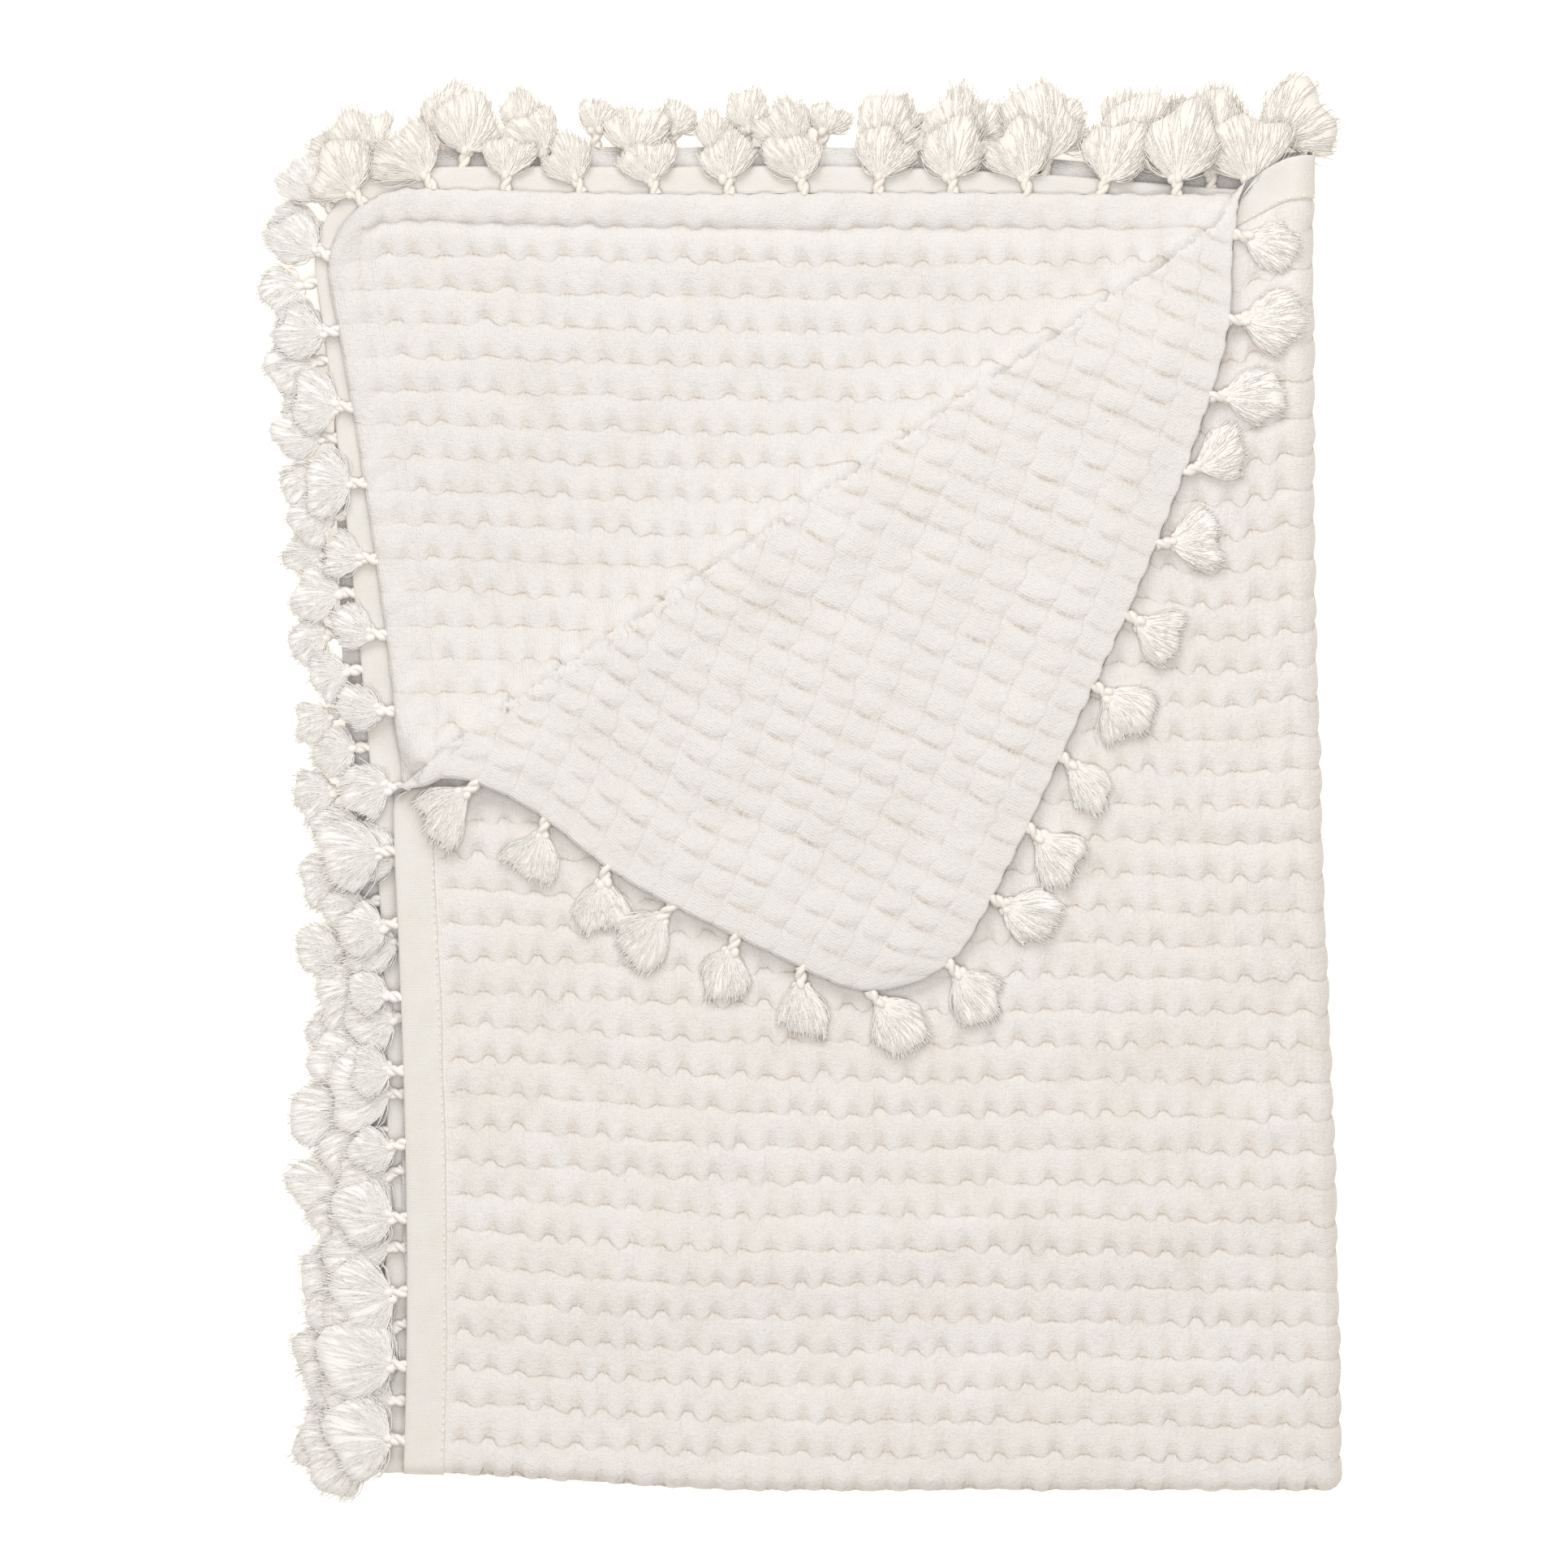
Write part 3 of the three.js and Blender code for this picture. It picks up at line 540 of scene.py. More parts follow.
face_count = (COLUMNS * STEPS_ACROSS + 1) * POINTS_ALONG
polygons = []
for own in (FACE_A, FACE_B):
    for i in range(COLUMNS):
        for j in range(ROWS):
            for polygon in cell_polygons(own, i, j):
                if own == FACE_A:
                    polygons.append(polygon)
                else:
                    polygons.append([face_count + number for number in reversed(polygon)])
rim = rim_points()
for here, after in zip(rim, rim[1:] + rim[:1]):
    polygons.append([after, here, face_count + here, face_count + after])
used, compact = np.unique(np.concatenate(polygons), return_inverse=True)
starts = np.cumsum([len(polygon) for polygon in polygons])[:-1]
polygons = [part.tolist() for part in np.split(compact, starts)]
faces = [waffle_face(own, used[used // face_count == own] % face_count) for own in (FACE_A, FACE_B)]
points, weave, low_shade_and_hatch, groove_shadow, tone, inner = (np.concatenate(values) for values in zip(*faces))
cloth_mesh = mesh_of("waffle_cloth_visual", points, polygons)
set_weave(cloth_mesh, weave)
set_attributes(cloth_mesh, {"low_shade_and_hatch": low_shade_and_hatch, "groove_shadow": groove_shadow, "tone": tone, "inner": inner})
cloth = piece_of("waffle_cloth_visual", cloth_mesh)


class Link:
    """A socket of a node tree. Arithmetic on it adds Math nodes, and add() makes any other node."""

    def __init__(self, tree, socket=None):
        self.tree = tree
        self.socket = socket

    def add(self, kind, settings=None, inputs=None, output=0):
        """Makes a node of a kind, sets its settings, then the values or links of its sockets."""
        node = self.tree.nodes.new(kind)
        for name, value in (settings or {}).items():
            setattr(node, name, value)
        for key, value in (inputs or {}).items():
            if isinstance(value, Link):
                self.tree.links.new(value.socket, node.inputs[key])
            else:
                node.inputs[key].default_value = value
        return Link(self.tree, node.outputs[output])

    def math(self, operation, *values):
        return self.add("ShaderNodeMath", {"operation": operation}, dict(enumerate(values)))

    def __add__(self, other):
        return self.math("ADD", self, other)

    __radd__ = __add__

    def __sub__(self, other):
        return self.math("SUBTRACT", self, other)

    def __rsub__(self, other):
        return self.math("SUBTRACT", other, self)

    def __mul__(self, other):
        return self.math("MULTIPLY", self, other)

    __rmul__ = __mul__

    def noise(self, place, scale, detail):
        """Noise over a place, which is a link."""
        return self.add("ShaderNodeTexNoise", None, {"Vector": place, "Scale": scale, "Detail": detail})

    def attribute(self, name, output=2):
        """A number stored with the mesh, for a material."""
        return self.add("ShaderNodeAttribute", {"attribute_name": name}, output=output)

    def stored(self, name, kind="FLOAT"):
        """A number or vector stored with the mesh, for a geometry tree."""
        return self.add("GeometryNodeInputNamedAttribute", {"data_type": kind}, {"Name": name})

    def clamped(self):
        return self.add("ShaderNodeClamp", None, {"Value": self})

    def mixed(self, low, high):
        """A colour between two others, by this value."""
        colours = {0: self, 6: low, 7: high}
        return self.add("ShaderNodeMix", {"data_type": "RGBA"}, colours, output=2)


def cotton(name, base, height, distance, roughness=0.92, sheen=0.25):
    """A matt cotton: base and height take the material's tree and give its colour and its relief."""
    material = bpy.data.materials.new(name)
    material.use_nodes = True
    tree = material.node_tree
    shader = tree.nodes["Principled BSDF"]
    shader.inputs["Roughness"].default_value = roughness
    shader.inputs["Specular IOR Level"].default_value = 0.2
    shader.inputs["Sheen Weight"].default_value = sheen
    shader.inputs["Sheen Roughness"].default_value = 0.5
    start = Link(tree)
    tree.links.new(base(start).socket, shader.inputs["Base Color"])
    bump = start.add("ShaderNodeBump", None, {"Strength": 1, "Distance": distance, "Height": height(start)})
    tree.links.new(bump.socket, shader.inputs["Normal"])
    return material


def colour(red, green, blue):
    """An sRGB colour of 0 to 255 as the linear one that a shader takes."""
    def linear(value):
        share = value / 255
        return share / 12.92 if share <= 0.04045 else ((share + 0.055) / 1.055) ** 2.4
    return (linear(red), linear(green), linear(blue), 1)


WAFFLE_CREAM = colour(227, 223, 221)
WAFFLE_WARM = colour(224, 217, 210)
WAFFLE_PALE = colour(221, 218, 215)
WAFFLE_HOLLOW = colour(218, 203, 186)
# Painted shade, with the open weave's hatching, for the low places.
WAFFLE_HATCH_AND_SHADE = colour(192, 180, 164)
# Painted shadow lines for the grooves.
WAFFLE_GROOVE_SHADOW = colour(174, 158, 138)
FLECK = colour(150, 128, 100)
THREADS_ALONG = 24
RIBS_ACROSS = 9


def weave_parts(start):
    """The weave coordinates, and the two of them on their own."""
    uv = start.add("ShaderNodeUVMap", {"uv_map": "weave"})
    first = start.add("ShaderNodeSeparateXYZ", None, {0: uv})
    return uv, first, Link(start.tree, first.socket.node.outputs[1])


def waffle_base(start):
    uv = weave_parts(start)[0]
    tone = start.attribute("tone")
    low_shade_and_hatch = start.attribute("low_shade_and_hatch")
    cloud = start.noise(uv, 0.7, 3)
    cream = (tone * 0.6 + cloud * 0.5 - 0.1).mixed(WAFFLE_CREAM, WAFFLE_WARM)
    speck = start.add("ShaderNodeTexVoronoi", {"feature": "F1"}, {"Vector": uv, "Scale": 0.9})
    place = Link(start.tree, speck.socket.node.outputs[2])
    chance = start.add("ShaderNodeTexWhiteNoise", {"noise_dimensions": "3D"}, {"Vector": place})
    fleck = start.math("LESS_THAN", speck, 0.035) * start.math("LESS_THAN", chance, 0.22)
    inner = start.attribute("inner")
    cream = (inner * 0.6).mixed(cream, WAFFLE_PALE)
    stipple = start.noise(uv, 11, 2)
    # Painted shade in the low places, hatched by the stipple as the open weave.
    open_weave_and_shade = (low_shade_and_hatch * (stipple * 2.6 - 0.55)).clamped()
    grain = start.noise(uv, 9, 4)
    grain = (grain * 3.0 - 1.2).clamped()
    cream = (grain * 0.25).mixed(cream, WAFFLE_HOLLOW)
    shaded = (open_weave_and_shade * 0.4).mixed(cream, WAFFLE_HATCH_AND_SHADE)
    # Painted shadow lines in the grooves, broken by the stipple.
    groove_shadow = start.attribute("groove_shadow")
    broken = (stipple * 3.0 - 0.8).clamped()
    shaded = (groove_shadow * broken * 0.8).mixed(shaded, WAFFLE_GROOVE_SHADOW)
    return (fleck * 0.25).mixed(shaded, FLECK)


def waffle_height(start):
    uv, across, along = weave_parts(start)
    fuzz = start.noise(uv, 16, 2)
    weft = start.math("SINE", along * (2 * math.pi * THREADS_ALONG) + fuzz * 3)
    warp = start.math("SINE", across * (2 * math.pi * RIBS_ACROSS) + fuzz * 3)
    top = start.math("FRACT", along)
    ribbed = start.math("SMOOTH_MIN", 1 - top, 0.6, 0.3)
    nap = start.noise(uv, 5, 4)
    return weft * 0.15 + warp * ribbed * 0.25 + fuzz * 1.8 + nap * 2.6


cloth_mesh.materials.append(cotton("waffle_cotton", waffle_base, waffle_height, 0.00022))
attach(cloth, "root")
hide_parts("waffle_cloth")


# Facing tape: plain cotton tape sewn flat round the whole edge, on the outer side of the cloth. It lies
# over the turned edge, drawn in a little by its stitches, and folds with the cloth.
TAPE_INSETS = np.array([0.2, 0.9, 3.2, 6.4, 9.6, 12.6, 14.6, 15.6, 16.0])
TAPE_STEP, TAPE_FOLD_STEP = 3.0, 0.8
TAPE_FOLD_REACH = 34.0
TAPE_GAP, TAPE_RIM = 0.05, 0.55
TAPE_WANDER, WRINKLE, FINE_WRINKLE = 0.35, 0.45, 0.2


def steps_between(start, end):
    """Places along a straight edge, closer where it goes round the fold at zero."""
    places = [start]
    while places[-1] < end:
        near = -TAPE_FOLD_REACH - TAPE_STEP < places[-1] < TAPE_FOLD_REACH
        places.append(min(end, places[-1] + (TAPE_FOLD_STEP if near else TAPE_STEP)))
    return np.array(places[:-1])


def edge_path():
    """Flat points once round the cloth's edge, anticlockwise, with the direction out of the cloth."""
    straight_a = HALF_WIDTH - CORNER_RADIUS
    low_b, high_b = CORNER_RADIUS - INNER_LENGTH, OUTER_LENGTH - CORNER_RADIUS
    across = steps_between(-straight_a, straight_a)
    up = steps_between(low_b, high_b)
    arc = np.linspace(0, math.pi / 2, 20)[:-1]
    still = np.zeros_like
    parts = [
        (across, np.full_like(across, low_b), still(across), -1 + still(across)),
        (straight_a + still(arc), low_b + still(arc), np.sin(arc), -np.cos(arc)),
        (np.full_like(up, straight_a), up, 1 + still(up), still(up)),
        (straight_a + still(arc), high_b + still(arc), np.cos(arc), np.sin(arc)),
        (-across, np.full_like(across, high_b), still(across), 1 + still(across)),
        (-straight_a + still(arc), high_b + still(arc), -np.sin(arc), np.cos(arc)),
        (np.full_like(up, -straight_a), low_b + high_b - up, -1 + still(up), still(up)),
        (-straight_a + still(arc), low_b + still(arc), -np.cos(arc), -np.sin(arc)),
    ]
    a, b, out_a, out_b = (np.concatenate(column) for column in zip(*parts))
    return a, b, out_a, out_b


ring_a, ring_b, out_a, out_b = edge_path()
ring_spot = np.stack([ring_a, ring_b]) + CORNER_RADIUS * np.stack([out_a, out_b])
ring_step = np.hypot(*(np.roll(ring_spot, -1, axis=1) - ring_spot))
ring_run = np.cumsum(ring_step) - ring_step
ring_length = ring_step.sum()
ring_count = len(ring_a)


def tape_row(inset, lift):
    """Folded points all along the tape at one inset from the edge, lifted off the cloth."""
    reach = CORNER_RADIUS - inset
    wander = TAPE_WANDER * smooth(12, FACING_WIDTH, inset) * drift(ring_run / 26, ring_run * 0, 61)
    wrinkle = WRINKLE * drift(ring_run / 7 + inset / 5, ring_run * 0 + inset / 7, 62)
    wrinkle = wrinkle + FINE_WRINKLE * drift(ring_run / 2.6 + inset / 6, ring_run * 0 + inset / 14, 63)
    wrinkle = wrinkle * math.sin(math.pi * inset / FACING_WIDTH)
    offset = CLOTH_THICK / 2 + TAPE_GAP + lift * (FACING_THICK + wrinkle)
    return placed(ring_a + out_a * (reach - wander), ring_b + out_b * (reach - wander), offset)


rims = TAPE_INSETS[[0, -1]]
top_rows = [tape_row(inset, TAPE_RIM if inset in rims else 1) for inset in TAPE_INSETS]
under_rows = [tape_row(inset, 0) for inset in TAPE_INSETS[::-1]]
tape_rows = np.array(top_rows + under_rows)
loop = len(tape_rows)
tape_polygons = [
    [((k + 1) % loop) * ring_count + i, ((k + 1) % loop) * ring_count + (i + 1) % ring_count,
     k * ring_count + (i + 1) % ring_count, k * ring_count + i]
    for k in range(loop) for i in range(ring_count)
]
tape_mesh = mesh_of("facing_tape_visual", tape_rows.reshape(-1, 3), tape_polygons)
tape_weave = np.stack([
    np.tile(ring_run, loop), np.repeat(np.concatenate([TAPE_INSETS, TAPE_INSETS[::-1]]), ring_count)
], axis=-1)
set_weave(tape_mesh, tape_weave)
tape = piece_of("facing_tape_visual", tape_mesh)

TAPE_CREAM = colour(228, 225, 220)
TAPE_WARM = colour(225, 218, 209)
TAPE_THREADS = 2.2


def tape_base(start):
    uv = weave_parts(start)[0]
    cloud = start.noise(uv, 0.11, 4)
    return (cloud * 1.6 - 0.3).mixed(TAPE_CREAM, TAPE_WARM)


def tape_height(start):
    uv, along, across = weave_parts(start)
    slub = start.noise(uv, 0.9, 2)
    warp = start.math("SINE", along * (2 * math.pi * TAPE_THREADS) + slub * 4)
    weft = start.math("SINE", across * (2 * math.pi * TAPE_THREADS) + slub * 4)
    return warp * 0.3 + weft * 0.3 + slub * 0.8


tape_mesh.materials.append(cotton("tape_cotton", tape_base, tape_height, 0.00012))
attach(tape, "root")
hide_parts("facing_tape")


# Stitches: a row of short cotton stitches that holds the tape's inner edge down on the cloth, all
# round. Each one dips into the tape at both its ends.
STITCH_INSET = 15.2
STITCH_PITCH = 3.4
STITCH_HALF = (1.15, 0.5, 0.42)
STITCH_SLANT, STITCH_LOWEST = 0.14, 0.5


def geometry_tree(name, numbers):
    """A geometry node tree with a geometry and a material input, and named numbers with their values."""
    tree = bpy.data.node_groups.new(name, "GeometryNodeTree")
    tree.interface.new_socket("Geometry", in_out="INPUT", socket_type="NodeSocketGeometry")
    tree.interface.new_socket("Material", in_out="INPUT", socket_type="NodeSocketMaterial")
    for label, value in numbers.items():
        kind = "NodeSocketInt" if isinstance(value, int) else "NodeSocketFloat"
        tree.interface.new_socket(label, in_out="INPUT", socket_type=kind)
    tree.interface.new_socket("Geometry", in_out="OUTPUT", socket_type="NodeSocketGeometry")
    start = Link(tree)
    taken = start.add("NodeGroupInput").socket.node
    return start, {socket.name: Link(tree, socket) for socket in taken.outputs if socket.name}


def finished(start, given, geometry):
    """Ends a geometry tree with smooth shading and its material."""
    smooth_one = start.add("GeometryNodeSetShadeSmooth", None, {"Geometry": geometry})
    look = {"Geometry": smooth_one, "Material": given["Material"]}
    done = start.add("GeometryNodeSetMaterial", None, look)
    output = start.tree.nodes.new("NodeGroupOutput")
    start.tree.links.new(done.socket, output.inputs["Geometry"])
    return start.tree


def grown(name, mesh, tree, values):
    """A piece with the mesh that a geometry tree makes of a mesh's points and edges."""
    piece = piece_of(name, mesh)
    modifier = piece.modifiers.new("grow", "NODES")
    modifier.node_group = tree
    for item in tree.interface.items_tree:
        if item.in_out == "INPUT" and item.name in values:
            modifier[item.identifier] = values[item.name]
    done = bpy.data.meshes.new_from_object(piece.evaluated_get(bpy.context.evaluated_depsgraph_get()))
    piece.modifiers.remove(modifier)
    piece.data = done
    done.name = name
    return piece


def stitch_tree():
    """Puts a bead of its own direction and size on each point."""
    numbers = {"Segments": 6, "Rings": 4}
    start, given = geometry_tree("stitch_row", numbers)
    bead = start.add("GeometryNodeMeshUVSphere", None, {
        "Segments": given["Segments"], "Rings": given["Rings"], "Radius": 1.0,
    })
    way = start.stored("way", "FLOAT_VECTOR")
    size = start.stored("size", "FLOAT_VECTOR")
    turn = start.add("FunctionNodeAlignRotationToVector", {"axis": "X"}, {"Vector": way})
    points = start.add("GeometryNodeMeshToPoints", None, {"Mesh": given["Geometry"]})
    beads = start.add("GeometryNodeInstanceOnPoints", None, {
        "Points": points, "Instance": bead, "Rotation": turn, "Scale": size,
    })
    real = start.add("GeometryNodeRealizeInstances", None, {"Geometry": beads})
    return finished(start, given, real), numbers


def stitch_row():
    """Places, directions and half sizes of the stitches along the tape's inner edge."""
    count = int(ring_length / STITCH_PITCH)
    random = np.random.default_rng(71)
    runs = (np.arange(count) + random.uniform(-0.1, 0.1, count)) * ring_length / count
    closed = np.append(ring_run, ring_length)

    def along(values):
        return np.interp(runs % ring_length, closed, np.append(values, values[0]))

    away = np.stack([along(out_a), along(out_b)])
    away /= np.linalg.norm(away, axis=0)
    reach = CORNER_RADIUS - STITCH_INSET + random.uniform(-0.25, 0.25, count)
    a, b = along(ring_a) + away[0] * reach, along(ring_b) + away[1] * reach
    lift = CLOTH_THICK / 2 + TAPE_GAP + FACING_THICK
    places = placed(a, b, np.full(count, lift))
    places[:, 2] = np.maximum(places[:, 2], STITCH_LOWEST)
    ahead_a, ahead_b = -away[1] + STITCH_SLANT * away[0], away[0] + STITCH_SLANT * away[1]
    ways = placed(a + ahead_a, b + ahead_b, np.full(count, lift)) - places
    sizes = np.array(STITCH_HALF) * random.uniform(0.85, 1.15, (count, 1)) * MM
    return places, ways, sizes


TAPE_STITCH = colour(236, 231, 222)


def stitch_base(start):
    place = start.add("ShaderNodeTexCoord", output=3)
    cloud = start.noise(place, 400, 2)
    return cloud.mixed(TAPE_STITCH, TAPE_WARM)


def stitch_height(start):
    place = start.add("ShaderNodeTexCoord", output=3)
    return start.noise(place, 2500, 1)


stitch_points, stitch_ways, stitch_sizes = stitch_row()
stitch_seed = mesh_of("stitches_seed", stitch_points, [])
set_attributes(stitch_seed, {"way": stitch_ways, "size": stitch_sizes})
thread_cotton = cotton("thread_cotton", stitch_base, stitch_height, 0.0001)
tree, numbers = stitch_tree()
stitches = grown("tape_stitches", stitch_seed, tree, {**numbers, "Material": thread_cotton})
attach(stitches, "root")


# Tassels: a doubled bunch of soft cotton threads every 30 mm along all four edges. Each is gathered in
# a knot on a short twisted stem that is caught in the edge seam, and its cut threads spread in a fan.
#
# A fan's half angle in degrees, how much shorter its sides are, the share of its threads that stray past
# the sides, the least and most distance of its end from the root, how much that varies along the row,
# how uneven the end is, whether the tassel is tossed aside at random, and its tone from deep to white.
CLOSE_FAN = {
    "half": 50, "cut": 0.2, "sides": 0, "end": (24, 28),
    "grow": 0, "lobes": 0.1, "toss": 0, "tone": 0.65,
}
WIDE_FAN = {
    "half": 66, "cut": 0.3, "sides": 0.1, "end": (24, 31),
    "grow": 6, "lobes": 0.11, "toss": 1, "tone": 0.8,
}
# Painted shade: the top rows' tone is lower than the left rows', to offset the lamps lighting them more.
TOP_FAN = {
    "half": 64, "cut": 0.3, "sides": 0.1, "end": (25, 32),
    "grow": 6, "lobes": 0.13, "toss": 1, "tone": 0.4,
}
LOW_FAN = {**WIDE_FAN, "end": (21, 27)}
BACK_FAN = {**TOP_FAN, "end": (21, 28)}
FLAP_LOWER_LEANS = [22, -14, -22, 12, -10, -34, -54]
FLAP_SIDE_LEANS = [-5, -20, -27, -45, -31, 13, 14, 20, 17, 3, 2]

# A row's layer and edge, where it starts and ends along the edge from its fold, how far each of its
# tassels leans clockwise in degrees, how far their heads lie below the seam, and their fan.
TASSEL_ROWS = {
    "tassels_first_left": (FIRST, "left", 13, 246, np.linspace(0, -4, 9), 3.0, WIDE_FAN),
    "tassels_flap_lower": (FIRST, "left", 313, 490, FLAP_LOWER_LEANS, 2.6, CLOSE_FAN),
    "tassels_flap_side": (FIRST, "top", 41, 342, FLAP_SIDE_LEANS, 2.6, CLOSE_FAN),
    "tassels_second_left": (SECOND, "left", 28, 482, np.linspace(-6, 6, 16), 1.8, WIDE_FAN),
    "tassels_second_top": (SECOND, "top", 22, 350, np.linspace(6, -6, 13), 1.8, TOP_FAN),
    "tassels_third_left": (THIRD, "left", 13, 497, np.linspace(-34, 4, 17), 0.2, WIDE_FAN),
    "tassels_third_top": (THIRD, "top", 36, 338, np.linspace(8, -4, 11), 0.2, TOP_FAN),
    "tassels_fourth_left": (FOURTH, "left", 20, 484, np.linspace(-20, 0, 16), -1.5, LOW_FAN),
    "tassels_fourth_top": (FOURTH, "top", 14, 352, np.linspace(26, -4, 13), -1.5, BACK_FAN),
}

# A tossed tassel leans by a wave along its row and by chance. Its twisted stem leaves the seam just inside
# the edge, and it has settled just past the head, where the threads start. The dome is their height along
# their length. The soft body among them ends short at the sides and the end, and is streaked along them.
LEAN_SPREAD, LEAN_STEP, LEAN_TOSS = 9.0, 2.4, 12.0
ROOT_OUT = 1.4
SETTLE_OUT = 7.6
HEAD_OUT = 5.4
FAN_SPREAD = 0.2
BEND = 22.0
DOME = np.array([(0, 1.6), (0.12, 2.3), (0.35, 3.0), (0.65, 2.8), (1, 1.8)])
BODY_SIDE, BODY_END, BODY_HIGH, BODY_COLUMNS, BODY_ROWS = 0.96, 0.93, 1.0, 11, 6
STREAKS = (34.0, 2.6)
THREADS, THREAD_POINTS, THREAD_RADIUS = 165, 6, 0.25
STEM_POINTS, STEM_RADIUS = 9, 1.45
CORD_LEAST = 0.45
TASSEL_LOWEST = 0.35
KNOT_SIZE = np.array([2.1, 1.6, 1.4])
KNOT_RING = (0.9, 2.5, 1.4)
STEM_TWIST, STEM_WIDE, STEM_HIGH, STEM_TUCK = 1.6 * math.pi, 1.15, 0.7, 0.6
DROOP, HEAD_HALF, SIDE_STRAY = (0.2, 1.2), 2.2, 0.35
THREAD_LEVEL, UPPER_SHARE, THREAD_REACH = (0.96, 1.06), 0.86, (0.86, 1.05)
STRAY, WILD_SHARE, WILD = 0.13, 0.08, 3
STEM_TONE = -0.2


def on_edge(layer, edge, distance):
    """A flat point along an open edge at a distance from its fold, and the direction out of the cloth."""
    side_a = -1 if layer in (FIRST, SECOND) else 1
    side_b = 1 if layer in (FIRST, FOURTH) else -1
    length = OUTER_LENGTH if layer in (FIRST, FOURTH) else INNER_LENGTH
    straight = (length if edge == "left" else HALF_WIDTH) - CORNER_RADIUS
    turn = max(0, distance - straight) / CORNER_RADIUS
    run = min(distance, straight) + CORNER_RADIUS * math.sin(turn)
    inset = CORNER_RADIUS * (1 - math.cos(turn))
    if edge == "left":
        return side_a * (HALF_WIDTH - inset), side_b * run, side_a * math.cos(turn), side_b * math.sin(turn)
    return side_a * run, side_b * (length - inset), side_a * math.sin(turn), side_b * math.cos(turn)


class Yarns:
    """Paths of yarn, knots and soft bodies, gathered for one piece with what is stored for each point."""

    def __init__(self):
        self.points, self.edges, self.faces = [], [], []
        self.values = {name: [] for name in ("thick", "tone", "size", "turn", "solid", "lie")}
        self.count = 0

    def add_paths(self, paths, thick, tone):
        """Adds paths, as an array of path by point by coordinate, with a thickness for each point."""
        number, length = paths.shape[:2]
        first = self.count + np.arange(number)[:, None] * length + np.arange(length - 1)
        self.edges.append(np.stack([first, first + 1], axis=-1).reshape(-1, 2))
        self.keep(paths.reshape(-1, 3), np.broadcast_to(thick, (number, length)).ravel(),
                  np.repeat(np.broadcast_to(tone, number), length))

    def add_knots(self, places, sizes, turns, tone):
        self.keep(places, 0, tone, sizes, turns)

    def add_body(self, top, bottom, tone, lie):
        """Adds a closed body between two grids of points, each going out and then across."""
        columns, rows = top.shape[:2]
        number = np.arange(columns * rows).reshape(columns, rows) + self.count
        corners = [number[:-1, :-1], number[:-1, 1:], number[1:, 1:], number[1:, :-1]]
        quads = np.stack(corners, axis=-1).reshape(-1, 4)
        rim = np.concatenate([number[0, :-1], number[:-1, -1], number[-1, :0:-1], number[:0:-1, 0]])
        after = np.roll(rim, -1)
        under = columns * rows
        self.faces += quads.tolist() + (quads[:, ::-1] + under).tolist()
        self.faces += np.stack([rim + under, after + under, after, rim], axis=-1).tolist()
        points = np.concatenate([top.reshape(-1, 3), bottom.reshape(-1, 3)])
        lie = np.tile(lie.reshape(-1, 3), (2, 1))
        self.keep(points, 1, tone, solid=1, lie=lie)

    def keep(self, points, thick, tone, size=(0, 0, 0), turn=0, solid=0, lie=(0, 0, 0)):
        """Keeps points with their values, each for all the points or for each of them."""
        self.points.append(points)
        self.count += len(points)
        given = {"thick": thick, "tone": tone, "size": size, "turn": turn, "solid": solid, "lie": lie}
        for name, value in given.items():
            shape = points.shape if name in ("size", "lie") else len(points)
            self.values[name].append(np.broadcast_to(np.asarray(value, float), shape))

    def mesh(self, name):
        """A mesh of all that was gathered, with what the tree needs stored for each point."""
        points = (np.concatenate(self.points) + FOLD_CORNER) * MM
        mesh = bpy.data.meshes.new(name)
        mesh.from_pydata(points.tolist(), np.concatenate(self.edges).tolist(), self.faces)
        values = {name: np.concatenate(own) for name, own in self.values.items()}
        values["thick"], values["size"] = values["thick"] * MM, values["size"] * MM
        set_attributes(mesh, values)
        return mesh


